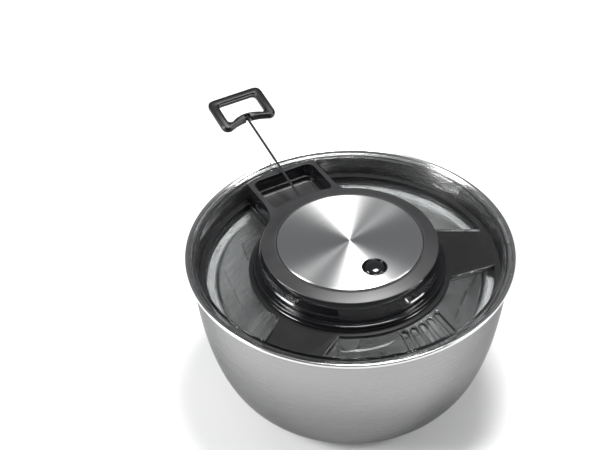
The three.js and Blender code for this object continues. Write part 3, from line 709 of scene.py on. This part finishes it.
class OBJECT_OT_spinner_stage(bpy.types.Operator):
    """Set up the camera, the pale floor and the soft studio light"""
    bl_idname = "object.spinner_stage"
    bl_label = "Studio"

    def execute(self, context):
        back = Vector((0, -math.cos(VIEW_ELEVATION), math.sin(VIEW_ELEVATION)))
        level = Matrix.Rotation(math.pi / 2 - VIEW_ELEVATION, 4, "X")
        aim = Vector((-math.tan(VIEW_PAN), math.tan(VIEW_TILT), -1))
        turn = Vector((0, 0, -1)).rotation_difference(aim).to_matrix().to_4x4()
        camera = bpy.data.cameras.new("camera")
        camera.lens = VIEW_LENS
        camera.sensor_width = 36
        camera.clip_start = 0.05
        camera.dof.use_dof = False
        stand = bpy.data.objects.new("camera", camera)
        stand.matrix_world = Matrix.Translation(VIEW_TARGET + VIEW_DISTANCE * back) @ level @ turn
        bpy.context.scene.collection.objects.link(stand)
        bpy.context.scene.camera = stand

        deselect()
        bpy.ops.mesh.primitive_plane_add(size=8, location=(0, 0, -0.2 * MM))
        floor = bpy.context.object
        floor.name = "studio_floor"
        material, tree, shader = new_material("studio_floor")
        grain = noise(tree, object_place(tree), 3.0, 2.0)
        tone = tuple(colours().floor)
        colour_of(tree, shader, grain, tone, 0.995, 1.005)
        give(shader, {"Roughness": 0.9, "Specular IOR Level": 0.1})
        floor.data.materials.append(material)

        world = bpy.data.worlds.new("studio")
        world.use_nodes = True
        give(world.node_tree.nodes["Background"], {"Color": (0.95, 0.97, 1, 1), "Strength": 0.18})
        bpy.context.scene.world = world
        bpy.context.scene.view_settings.view_transform = "Standard"
        soft_lamp("lamp_over", (0.17, 0.33, 1.63), (0, 0.17, 0.1), 0.42, 0.55, 30)
        soft_lamp("lamp_left", (-1.15, -0.35, 0.75), (0, 0, 0.02), 0.35, 0.8, 20)
        soft_lamp("lamp_left_edge", (-1.1, -0.12, 0.35), (0, 0, 0.06), 0.16, 0.7, 3.2)
        soft_lamp("lamp_right", (1.2, -0.3, 0.7), (0, 0, 0.02), 0.25, 0.8, 8)
        soft_lamp("lamp_right_edge", (1.1, -0.1, 0.35), (0, 0, 0.06), 0.12, 0.6, 2.5)
        return {"FINISHED"}


# ------------------------------------------------------------- bowl and basket

def bowl_outside(height):
    """The bowl's radius at a height: a curve that leaves a flat base and steepens to the rim."""
    share = min(height / seat_level, 1)
    base = 60 * MM
    lean, fullness = 1.61, 3.79
    return base + (wall_top_radius - base) * (1 - (1 - share) ** lean) ** (1 / fullness)


class OBJECT_OT_spinner_bowl(bpy.types.Operator):
    """Model the pressed steel bowl with its rolled rim and the seat for the lid"""
    bl_idname = "object.spinner_bowl"
    bl_label = "Bowl"

    def execute(self, context):
        steps = 26
        top = seat_level - 1.4 * MM
        outside = [Vector((bowl_outside(top * (i / steps) ** 2), top * (i / steps) ** 2))
                   for i in range(steps + 1)]
        foot = outside[0].x
        recess = 0.5 * MM
        underside = rounded([(0, recess), (foot - 14 * MM, recess, 2 * MM), (foot - 11 * MM, 0, 2 * MM),
                             (foot - 4 * MM, 0)], closed=False)
        inside = [p - bowl_wall * Vector((d.y, -d.x)).normalized()
                  for p, d in zip(outside[1:], [b - a for a, b in zip(outside, outside[1:])])]
        seat = rim_radius - 3.4 * MM
        bead = sizes().rim_bead
        rim = rounded([
            (outside[-1].x, outside[-1].y),
            (rim_radius - 0.9 * MM, seat_level - 0.3 * MM, bead),
            (rim_radius, bowl_height - 2.2 * MM, bead),
            (rim_radius - 0.4 * MM, bowl_height - 0.5 * MM, bead),
            (rim_radius - 1.6 * MM, bowl_height, bead),
            (rim_radius - 2.8 * MM, bowl_height - 0.5 * MM, bead),
            (seat, bowl_height - 1.8 * MM, 0.6 * MM),
            (seat, seat_level, 0.8 * MM),
            (wall_top_radius - bowl_wall, seat_level, 0.8 * MM),
            (inside[-1].x, inside[-1].y),
        ], closed=False, steps=5)
        floor = [Vector((foot - 3 * MM, bowl_wall)), Vector((0, bowl_wall))]
        outline = underside + outside[1:-1] + rim + inside[-2::-1] + floor
        bowl = spun("bowl", outline, FINE)
        finish_piece(bowl, "steel_bowl", "bowl", "bowl_steel", "bowl", 40)
        bowl.data.materials.append(FINISHES["rim_steel"])
        for face in bowl.data.polygons:
            middle = face.center
            on_roll = math.hypot(middle.x, middle.y) > wall_top_radius + 0.6 * MM
            face.material_index = 1 if on_roll and middle.z > seat_level - 1.5 * MM else 0
        return {"FINISHED"}


class OBJECT_OT_spinner_basket(bpy.types.Operator):
    """Model the clear slotted basket and the clear carrier that turns it"""
    bl_idname = "object.spinner_basket"
    bl_label = "Basket and carrier"

    def execute(self, context):
        self.basket()
        self.carrier()
        return {"FINISHED"}

    def basket(self):
        floor = 12 * MM
        top = basket_high[2]
        rim = top - 2.5 * MM
        wide = basket_rim_radius
        top_radius = wide - 5 * MM
        flat = 80 * MM
        corner = flat + 13 * MM
        boss = 9.3 * MM
        socket = 7.3 * MM
        outline = rounded([
            (0, floor), (boss, floor, 0.6 * MM), (boss, socket, 0.4 * MM),
            (boss + 2.5 * MM, socket, 0.4 * MM), (boss + 2.5 * MM, floor, MM),
            (flat + 2 * MM, floor, 8 * MM), (corner, floor + 10 * MM, 12 * MM),
            (top_radius, rim, 0.8 * MM), (wide, rim, 0.7 * MM), (wide, top, 0.7 * MM),
            (top_radius - 1.5 * MM, top, 0.7 * MM), (top_radius - 1.8 * MM, rim, 2 * MM),
            (corner - 1.8 * MM, floor + 10.8 * MM, 11 * MM), (flat + 1.2 * MM, floor + 2 * MM, 7 * MM),
            (0, floor + 2 * MM)], closed=False, steps=5)
        basket = spun("basket", outline)
        height = top - floor
        half = sizes().slot_width / 2
        rows = ((0.22, 0.36), (0.41, 0.61), (0.66, 0.86))
        columns, spokes = 18, 9
        cutters = []
        for i in range(columns):
            azimuth = (i + 0.5) * FULL / columns
            for low, high in rows:
                cutters.append(self.slot(flat, wide + 4 * MM, half, floor + low * height,
                                         floor + high * height, azimuth))
        for i in range(spokes):
            cutters.append(radial_slab("floor_slot", 28 * MM, 72 * MM, half, floor - MM, floor + 3 * MM,
                                       (i + 0.5) * FULL / spokes, half * 0.95))
        for i in range(LUGS):
            cutters.append(radial_slab("notch", top_radius + GAP, wide + MM, 4.6 * MM, rim - MM,
                                       top + MM, i * FULL / LUGS))
        cut(basket, merged("cutters", cutters))
        finish_piece(basket, "slotted_basket", "basket", "clear_plastic", "basket", 36,
                     finish="basket_plastic")

    def slot(self, inner, outer, half, low, high, azimuth):
        """An upright slot with round ends, cut straight out through the wall."""
        outline = rounded([(-half, low, half * 0.95), (half, low, half * 0.95),
                           (half, high, half * 0.95), (-half, high, half * 0.95)], steps=3)
        return put(slab("slot", outline, inner, outer), Matrix.Rotation(azimuth, 4, "Z") @ OUTWARDS)

    def carrier(self):
        low = lid_floor - 16.1 * MM
        edge = basket_high[2] + GAP
        high = lid_floor - 12 * MM
        inner = 15.3 * MM
        rise = basket_rim_radius - 10 * MM
        wide = basket_rim_radius - MM
        wall = 1.8 * MM
        outline = rounded([
            (inner, low, 0.4 * MM), (61 * MM, low, 5 * MM), (73 * MM, high, 5 * MM),
            (rise + wall, high, 1.6 * MM), (rise + wall, edge, MM), (wide, edge, 0.6 * MM),
            (wide, edge + 1.5 * MM, 0.6 * MM), (rise, edge + 1.5 * MM, 1.4 * MM),
            (rise, high + wall, 1.6 * MM), (72 * MM, high + wall, 5 * MM),
            (60 * MM, low + wall, 5 * MM), (inner, low + wall, 0.4 * MM)])
        carrier = spun("carrier", outline)
        for i in range(LUGS):
            lug = radial_slab("lug", basket_rim_radius - 4.1 * MM, basket_rim_radius - 1.5 * MM, 4 * MM,
                              basket_high[2] - 2.3 * MM, edge + 0.5 * MM, i * FULL / LUGS, 0.5 * MM)
            add(carrier, lug)
        finish_piece(carrier, "clear_basket_carrier", "carrier", "clear_plastic", "basket_carrier", 36)


# ------------------------------------------------------------- clear lid, seal and frame

def arm_outline(arm, margin, inner, outer):
    """The tapering outline of an arm between two radii."""
    azimuth, inner_half, outer_half = arm
    slope = (outer_half - inner_half) / (lid_inner_radius - ring_radius)
    near, far = [inner_half + slope * (r - ring_radius) + margin for r in (inner, outer)]
    corners = [(inner, -near), (outer, -far), (outer, far), (inner, near)]
    return turned_about_z([Vector(c) for c in corners], azimuth)


def tray_outline(margin):
    """The tray from above: straight sides that flare into the hub."""
    half = TRAY_HALF + margin
    flare = half + 15 * MM
    start = hub_radius - 24 * MM
    straight = hub_radius + 14 * MM
    side = arc(Vector((start, -flare)), Vector((hub_radius - 4 * MM, -half)), Vector((straight, -half)), 16)
    side.append(Vector((rim_radius, -half)))
    return turned_about_z(side + [Vector((p.x, -p.y)) for p in reversed(side)], TRAY_AZIMUTH)


def drain_outline(index, width):
    """A straight slot with round ends."""
    middle = (ring_radius + lid_inner_radius - 5 * MM) / 2
    place = polar(middle, math.radians(-62.2 + 5.2 * index))
    direction = math.radians(-71 + 3 * index)
    straight = 13 * MM
    half_round = [polar(width / 2, math.pi * (k / 8 - 0.5)) + Vector((straight, 0)) for k in range(9)]
    return [p + place for p in turned_about_z(half_round + [-p for p in half_round], direction)]


class OBJECT_OT_spinner_lid(bpy.types.Operator):
    """Model the clear lid with its ribs and raised drain slots, and the seal under it"""
    bl_idname = "object.spinner_lid"
    bl_label = "Clear lid and seal"

    def execute(self, context):
        low = lid_floor_low
        seat = seat_level + GAP
        outline = rounded([
            (HUB_HOLE, low, 0.3 * MM), (lid_wall_radius, low, 1.6 * MM), (lid_wall_radius, seat, 0.8 * MM),
            (flange_radius, seat, 0.4 * MM), (flange_radius, flange_top, 0.8 * MM),
            (flange_radius - 2.2 * MM, flange_top, 0.3 * MM),
            (flange_radius - 2.6 * MM, flange_top - 0.5 * MM, 0.3 * MM),
            (lid_inner_radius + 1.2 * MM, flange_top - 0.5 * MM, 0.3 * MM),
            (lid_inner_radius + 0.9 * MM, flange_top, 0.3 * MM),
            (lid_inner_radius, flange_top, 0.5 * MM),
            (lid_inner_radius, lid_floor + 8 * MM, 0.3 * MM),
            (lid_inner_radius - 0.2 * MM, lid_floor + 7.8 * MM, 0.2 * MM),
            (lid_inner_radius - 0.2 * MM, lid_floor, 0.1 * MM), (HUB_HOLE, lid_floor, 0.3 * MM)])
        shell = spun("shell", outline, FINE)
        width = sizes().drain_width
        for i in range(DRAINS):
            lip = slab("lip", drain_outline(i, width + 2.2 * MM), lid_floor - MM, lid_floor + 1.6 * MM)
            self.drain(lip, i)
            add(shell, soften(lip, 0.35 * MM, 2, 60))
        for i in range(DRAINS):
            self.drain(shell, i)
        rib_top = lid_floor + 4 * MM
        for arm in ARMS:
            rib = slab("rib", arm_outline(arm, 1.7 * MM, 40 * MM, rim_radius), lid_floor - MM, rib_top)
            cut(rib, slab("arm_room", arm_outline(arm, GAP, 30 * MM, rim_radius + 9 * MM),
                          lid_floor - 2 * MM, rib_top + MM))
            keep_inside(rib, ring("window", collar_radius + 4.6 * MM, lid_inner_radius - 5.6 * MM,
                                  lid_floor - 0.5 * MM, rib_top + 2 * MM, FINE))
            cut(rib, slab("tray_room", tray_outline(GAP), lid_floor, rib_top + 3 * MM))
            add(shell, soften(rib, 0.35 * MM, 2, 60))
        screw_holes(shell, low - MM, lid_floor + MM)
        finish_piece(shell, "clear_lid", "lid", "clear_plastic", "lid_shell")

        seal_low, seal_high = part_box("lid_seal")
        outer = seal_high[0]
        base, top = seal_low[2], seal_high[2]
        seal = spun("seal", rounded([
            (outer - 8 * MM, base, 0.4 * MM), (outer - MM, base, 0.4 * MM),
            (outer, base + 0.5 * MM, 0.3 * MM), (outer - 0.6 * MM, (base + top) / 2, 0.3 * MM),
            (outer, top - 0.5 * MM, 0.3 * MM), (outer - MM, top, 0.3 * MM),
            (outer - 8 * MM, top, 0.4 * MM)]))
        finish_piece(seal, "lid_seal_ring", "lid", "seal_rubber", "lid_seal", 40)
        return {"FINISHED"}

    def drain(self, obj, index):
        outline = drain_outline(index, sizes().drain_width)
        cut(obj, slab("drain", outline, lid_floor_low - MM, lid_floor + 3 * MM))


class OBJECT_OT_spinner_frame(bpy.types.Operator):
    """Model the flat frame with its three arms on the clear floor"""
    bl_idname = "object.spinner_frame"
    bl_label = "Lid frame"

    def execute(self, context):
        low = lid_floor + GAP
        outer = lid_inner_radius - 0.5 * MM
        frame_ring = ring("frame", HUB_HOLE, ring_radius, low, frame_top)
        add(frame_ring, ring("outer", outer - 5 * MM, outer, low, frame_top, FINE))
        for arm in ARMS:
            blade = slab("blade", arm_outline(arm, -GAP, 70 * MM, rim_radius), low, frame_top)
            keep_inside(blade, disc("reach", outer - 2 * MM, low - MM, frame_top + MM))
            add(frame_ring, blade)
        screw_holes(frame_ring, low - MM, frame_top + MM)
        soften(frame_ring, 0.4 * MM, 2, 50)
        finish_piece(frame_ring, "three_arm_frame", "lid", "charcoal_plastic", "lid_frame",
                     finish="frame_plastic")
        return {"FINISHED"}


# ------------------------------------------------------------- hub, plate and button

def pocket_outline(inset):
    """The pocket from above: its hub side follows the hub, and all its corners are round."""
    half = POCKET_HALF - inset
    end = lid_inner_radius - GAP - 6.8 * MM - inset
    wall = hub_radius + 6.5 * MM + inset
    corner = 8 * MM
    turn = math.asin((half - 0.75 * corner) / wall)
    side = arc(Vector((end, half - corner)), Vector((end, half)), Vector((end - corner, half)), 8)
    near = math.sqrt(wall ** 2 - half ** 2)
    side += arc(Vector((near + corner, half)), Vector((near, half)), polar(wall, turn), 8)
    hub_side = [polar(wall, turn - 2 * turn * k / 20) for k in range(1, 20)]
    lower = [Vector((p.x, -p.y)) for p in reversed(side)]
    return turned_about_z(side + hub_side + lower, TRAY_AZIMUTH)


def radial_rod(name, radius, inner, outer, level, sides=32):
    """A round rod along the tray's middle."""
    obj = slab(name, circle(radius, sides), inner, outer)
    return put(obj, Matrix.Translation((0, 0, level)) @ Matrix.Rotation(TRAY_AZIMUTH, 4, "Z") @ OUTWARDS)


class OBJECT_OT_spinner_hub(bpy.types.Operator):
    """Model the raised hub with the handle's tray, its stepped pocket and the button's well"""
    bl_idname = "object.spinner_hub"
    bl_label = "Hub cover and tray"

    def execute(self, context):
        inner = hub_radius - 2.5 * MM
        seat = plate_bottom - GAP
        ceiling = hub_top - 2.3 * MM
        side = hub_radius + MM
        foot = collar_radius - 5.3 * MM
        lip = plate_radius + 0.4 * MM
        edge = sizes().edge
        hub = spun("hub", rounded([
            (0, seat), (lip, seat, 0.2 * MM), (lip, hub_top + 1.9 * MM, 0.4 * MM),
            (lip + 2.2 * MM, hub_top + 1.9 * MM, 0.6 * MM),
            (hub_radius - 2 * MM, hub_top, 1.2 * MM), (hub_radius, hub_top - 5 * MM, 1.6 * MM),
            (hub_radius, hub_top - 12.4 * MM, edge), (side, hub_top - 13.6 * MM, edge),
            (side, collar_top + GAP, 0.3 * MM), (foot, collar_top + GAP, 0.2 * MM),
            (foot, hub_bottom, 0.2 * MM), (inner, hub_bottom, 0.2 * MM), (inner, ceiling, MM),
            (7 * MM, ceiling, 0.4 * MM), (7 * MM, ceiling - 1.5 * MM), (3.4 * MM, ceiling - 1.5 * MM),
            (3.4 * MM, ceiling + 1.2 * MM), (0, ceiling + 1.2 * MM)], closed=False), FINE)
        tray = slab("tray", tray_outline(0), hub_bottom, tray_top)
        keep_inside(tray, ring("reach", inner + MM, lid_inner_radius - 0.6 * MM, hub_bottom - MM,
                               tray_top + MM, FINE))
        bevel_edges_at(tray, tray_top, 1.1 * MM, 3)
        add(hub, tray)
        for azimuth in SCREW_AZIMUTHS:
            add(hub, rod("post", 4 * MM, polar(SCREW_RING, azimuth), hub_bottom, ceiling + MM))
        screw_holes(hub, hub_bottom - MM, hub_bottom + 12 * MM, 1.8 * MM, 32)
        place = (button_x, button_y)
        well_floor = hub_top - 11.6 * MM
        high = plate_top + 2 * MM
        add(hub, rod("well", button_radius + 2.9 * MM, place, well_floor - 2 * MM, ceiling + MM, 48))
        cut(hub, rod("well_room", button_radius + 0.4 * MM, place, well_floor, high, 48))
        cut(hub, rod("trim_room", button_radius + 2 * MM, place, ceiling + 0.1 * MM, high, 48))
        cut(hub, rod("stem_room", 3.9 * MM, place, well_floor - 3 * MM, well_floor + MM, 32))
        cut(hub, slab("ledge", pocket_outline(0), pocket_ledge, hub_top + 2 * MM))
        pit = slab("pit", pocket_outline(1.7 * MM), pit_floor, hub_top + 2 * MM)
        bevel_edges_at(pit, pit_floor, 2.4 * MM, 5)
        cut(hub, pit)
        cut(hub, radial_rod("cord_bore", 3.6 * MM, inner - MM, hub_radius + 9.5 * MM, cord_level))
        soften(hub, 0.3 * MM, 2, 55)
        finish_piece(hub, "hub_with_tray", "lid", "charcoal_plastic", "hub_cover", 30)
        self.paint(hub)
        return {"FINISHED"}

    def paint(self, hub):
        """The hub's bevel and walls are glossy, its tray's top edge is satin. Upward faces inside the
        pocket above its floor, chiefly its ledge, are painted the darker handle black as painted shade in
        the recess; the pit floor keeps the hub's charcoal.
        """
        hub.data.materials.append(FINISHES["black_gloss"])
        # The darker handle black, used in the pocket as painted shade.
        hub.data.materials.append(FINISHES["handle_plastic"])
        for face in hub.data.polygons:
            middle, up = face.center, face.normal.z
            radius = math.hypot(middle.x, middle.y)
            in_pocket = radius > hub_radius + 5 * MM and middle.z < tray_top - 1.3 * MM and up > -0.5
            on_side = radius > hub_radius - 1.9 * MM and abs(up) < 0.75
            on_pit_floor = in_pocket and middle.z < pit_floor + 1.2 * MM
            if on_pit_floor:
                face.material_index = 0
            elif on_side and middle.z > hub_bottom + 0.2 * MM:
                face.material_index = 1
            # Painted shade: upward faces in the pocket, chiefly its ledge, get the darker handle black.
            elif in_pocket:
                face.material_index = 2


class OBJECT_OT_spinner_collar(bpy.types.Operator):
    """Model the stepped glossy collar round the foot of the hub"""
    bl_idname = "object.spinner_collar"
    bl_label = "Hub collar"

    def execute(self, context):
        inner = collar_radius - 5 * MM
        low = hub_bottom
        top = collar_top
        outline = rounded([
            (inner, low, 0.2 * MM), (collar_radius, low, 0.3 * MM),
            (collar_radius, low + 1.1 * MM, 0.3 * MM), (collar_radius - 0.4 * MM, low + 1.4 * MM, 0.2 * MM),
            (collar_radius - 0.4 * MM, top - 1.7 * MM, 0.3 * MM), (collar_radius, top - 1.4 * MM, 0.3 * MM),
            (collar_radius, top, 0.9 * MM), (collar_radius - 1.9 * MM, top, 0.3 * MM),
            (collar_radius - 2.2 * MM, top - 0.6 * MM, 0.3 * MM),
            (collar_radius - 3.4 * MM, top - 0.6 * MM, 0.3 * MM),
            (collar_radius - 3.7 * MM, top, 0.3 * MM), (inner, top, 0.3 * MM)])
        collar = spun("collar", outline, FINE)
        cut(collar, slab("tray_room", tray_outline(GAP), low - MM, top + MM))
        finish_piece(collar, "glossy_collar", "lid", "black_gloss", "hub_collar", 30)
        return {"FINISHED"}


class OBJECT_OT_spinner_plate(bpy.types.Operator):
    """Model the brushed steel plate with the hole for the button"""
    bl_idname = "object.spinner_plate"
    bl_label = "Top plate"

    def execute(self, context):
        crown = 0.5 * MM
        outline = rounded([(0, plate_bottom), (plate_radius, plate_bottom, 0.2 * MM),
                           (plate_radius, plate_top - crown, 0.4 * MM),
                           (plate_radius - 1.2 * MM, plate_top, 0.8 * MM), (0, plate_top)], closed=False)
        plate = spun("plate", outline, FINE)
        cut(plate, rod("button_hole", button_radius + 2 * MM, (button_x, button_y), plate_bottom - MM,
                       plate_top + MM, 64))
        finish_piece(plate, "brushed_top_plate", "lid", "plate_steel", "top_plate", 30)
        return {"FINISHED"}


class OBJECT_OT_spinner_button(bpy.types.Operator):
    """Model the domed brake button, the trim ring round it and the cord's eyelet"""
    bl_idname = "object.spinner_button"
    bl_label = "Brake button, trim and eyelet"

    def execute(self, context):
        low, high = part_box("brake_button")
        top = high[2]
        skirt = hub_top - 6.8 * MM
        radius = button_radius
        dome = [(radius * math.sin(t), top - 2.8 * MM * (1 - math.cos(t)))
                for t in [math.pi / 2 * k / 10 for k in range(11)]]
        stem = [(radius, skirt), (radius - 1.4 * MM, skirt), (radius - 1.4 * MM, skirt + 6.2 * MM),
                (3.5 * MM, skirt + 6.2 * MM), (3.5 * MM, low[2] + 3 * MM), (1.5 * MM, low[2] + 2 * MM),
                (1.5 * MM, low[2]), (0, low[2])]
        button = spun("button", dome + stem, COARSE, (button_x, button_y))
        finish_piece(button, "domed_brake_button", "button", "black_gloss", "brake_button", 40)

        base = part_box("button_trim")[0][2]
        inner = radius + 0.4 * MM
        outer = radius + 1.7 * MM
        lip = plate_top + 0.6 * MM
        trim = spun("trim", rounded([(inner, base, 0.2 * MM), (outer, base, 0.2 * MM),
                                     (outer, lip, 0.5 * MM), (inner + 0.2 * MM, lip - 0.1 * MM, 0.3 * MM),
                                     (inner, lip - 0.6 * MM, 0.2 * MM)]), COARSE,
                    (button_x, button_y))
        finish_piece(trim, "button_trim_ring", "lid", "black_gloss", "button_trim", 40)

        start = hub_radius - 1.9 * MM
        bore = sizes().cord_diameter / 2 + 0.6 * MM
        eyelet = radial_rod("eyelet", 3.3 * MM, start, EYELET_MOUTH, cord_level)
        soften(eyelet, 0.7 * MM, 3, 60)
        cut(eyelet, radial_rod("eyelet_bore", bore, start - MM, EYELET_MOUTH + MM, cord_level, 24))
        soften(eyelet, 0.25 * MM, 2, 60)
        finish_piece(eyelet, "cord_eyelet_bush", "lid", "black_gloss", "cord_eyelet", 40)
        return {"FINISHED"}


# ------------------------------------------------------------- works under the lid

class OBJECT_OT_spinner_works(bpy.types.Operator):
    """Model the dish and the output hub under the lid, and paint the frame's inner parts"""
    bl_idname = "object.spinner_works"
    bl_label = "Mechanism"

    def execute(self, context):
        each = (1, 2, 3)
        painted = {
            "small_steel": ["bowl_pivot", "brake_lever_pin", "drive_shaft", "shaft_washer", "shaft_screw",
                            "recoil_spring", *[f"clutch_roller_{i}" for i in each],
                            *[f"base_screw_{i}" for i in each]],
            "bearing_plastic": ["basket_pivot_bush", "brake_lever", "cord_drum", "spring_cover"],
            "seal_rubber": ["brake_pad"],
            "cord_fibre": ["cord_winding", "cord_inside"],
        }
        self.dish()
        self.output_hub()
        self.spring()
        for finish, names in painted.items():
            for name in names:
                part = bpy.data.objects[name]
                part.data.materials.clear()
                part.data.materials.append(FINISHES[finish])
        return {"FINISHED"}

    def dish(self):
        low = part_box("mechanism_base")[0][2]
        top = lid_floor - 2.3 * MM
        rim = hub_radius - 4 * MM
        wall = 60 * MM
        hole = 18.5 * MM
        dish = spun("dish", rounded([
            (hole, low, 0.4 * MM), (wall - 2 * MM, low, 3 * MM), (wall, low + 3 * MM, 1.5 * MM),
            (wall, top - 2 * MM, 0.3 * MM), (rim, top - 2 * MM, 0.4 * MM), (rim, top, 0.4 * MM),
            (wall - 2.5 * MM, top, 0.3 * MM), (wall - 2.5 * MM, low + 2 * MM, MM),
            (hole, low + 2 * MM, 0.4 * MM)]))
        azimuth = math.atan2(button_y, button_x)
        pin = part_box("brake_lever_pin")
        pin_level = (pin[0][2] + pin[1][2]) / 2
        pin_ring = 52.1 * MM
        lugs = radial_slab("lugs", pin_ring - 3 * MM, pin_ring + 3 * MM, 8.2 * MM, low + 1.5 * MM,
                           pin_level + 3 * MM, azimuth)
        cut(lugs, radial_slab("between", pin_ring - 4 * MM, pin_ring + 4 * MM, 5.2 * MM, low + MM,
                              pin_level + 4 * MM, azimuth))
        add(dish, lugs)
        bore = rod("bore", 1.8 * MM, (0, 0), -10 * MM, 10 * MM, 20)
        place = polar(pin_ring, azimuth)
        put(bore, Matrix.Translation((place.x, place.y, pin_level)) @ Matrix.Rotation(azimuth, 4, "Z")
            @ Matrix.Rotation(math.pi / 2, 4, "X"))
        cut(dish, bore)
        screw_holes(dish, top - 3 * MM, top + MM)
        finish_piece(dish, "mechanism_dish", "lid", "mechanism_black", "mechanism_base", 36)

    def output_hub(self):
        low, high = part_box("output_hub")
        bore = 3.4 * MM
        neck = 15 * MM
        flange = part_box("mechanism_base")[0][2] - GAP
        disc_top = lid_floor - 6 * MM
        disc_radius = high[0]
        hub = spun("output_hub", rounded([
            (bore, low[2], 0.4 * MM), (neck, low[2], 0.8 * MM), (neck, flange - 1.7 * MM, 0.6 * MM),
            (neck + 9 * MM, flange - 1.7 * MM, 0.6 * MM), (neck + 9 * MM, flange, 0.4 * MM),
            (neck, flange, 0.3 * MM), (neck, disc_top - 2 * MM, 0.6 * MM),
            (disc_radius, disc_top - 2 * MM, 0.5 * MM), (disc_radius, disc_top, 0.5 * MM),
            (12 * MM, disc_top, MM), (12 * MM, high[2], 0.5 * MM), (bore, high[2], 0.4 * MM)]),
            MIDDLE)
        finish_piece(hub, "output_hub_turned", "carrier", "mechanism_black", "output_hub", 36)

    def spring(self):
        """One ring of wire, spun up four turns. The real spring flattens as the button goes down; this code
        does not flatten it.
        """
        low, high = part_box("button_spring")
        wire = 0.5 * MM
        turns = 4
        deselect()
        bpy.ops.mesh.primitive_circle_add(vertices=10, radius=wire, rotation=(math.pi / 2, 0, 0),
                                          location=(5.2 * MM, 0, low[2] + wire))
        spring = bpy.context.object
        place_applied()
        apply_modifier(spring, "SCREW", axis="Z", iterations=turns, steps=28, render_steps=28,
                       screw_offset=(high[2] - low[2] - 2 * wire) / turns)
        edit(spring)
        bpy.ops.mesh.select_all(action="DESELECT")
        bpy.ops.mesh.select_non_manifold()
        bpy.ops.mesh.edge_face_add()
        tidy_mesh()
        bpy.ops.transform.translate(value=(button_x, button_y, 0))
        leave()
        finish_piece(spring, "button_coil_spring", "lid", "small_steel", "button_spring", 60)
        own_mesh(spring)


# ------------------------------------------------------------- panel and run

OPERATORS = (
    OBJECT_OT_spinner_stage,
    OBJECT_OT_spinner_cord,
    OBJECT_OT_spinner_handle,
    OBJECT_OT_spinner_bowl,
    OBJECT_OT_spinner_basket,
    OBJECT_OT_spinner_lid,
    OBJECT_OT_spinner_frame,
    OBJECT_OT_spinner_hub,
    OBJECT_OT_spinner_collar,
    OBJECT_OT_spinner_plate,
    OBJECT_OT_spinner_button,
    OBJECT_OT_spinner_works,
)


class VIEW3D_PT_spinner(bpy.types.Panel):
    """Lists the steps that build the salad spinner"""
    bl_label = "Salad spinner"
    bl_idname = "VIEW3D_PT_spinner"
    bl_space_type = "VIEW_3D"
    bl_region_type = "UI"
    bl_category = "Spinner"

    def draw(self, context):
        scene = context.scene
        for group in (scene.spinner_sizes, scene.spinner_colours):
            box = self.layout.box()
            for key in group.__annotations__:
                box.prop(group, key)
        for operator in OPERATORS:
            self.layout.operator(operator.bl_idname)


CLASSES = (SpinnerSizes, SpinnerColours, *OPERATORS, VIEW3D_PT_spinner)


def register():
    for item in CLASSES:
        bpy.utils.register_class(item)
    bpy.types.Scene.spinner_sizes = bpy.props.PointerProperty(type=SpinnerSizes)
    bpy.types.Scene.spinner_colours = bpy.props.PointerProperty(type=SpinnerColours)


def unregister():
    del bpy.types.Scene.spinner_colours
    del bpy.types.Scene.spinner_sizes
    for item in reversed(CLASSES):
        bpy.utils.unregister_class(item)


def main():
    register()
    make_finishes()
    for operator in OPERATORS:
        group, name = operator.bl_idname.split(".")
        getattr(getattr(bpy.ops, group), name)()


if __name__ == "__main__":
    main()
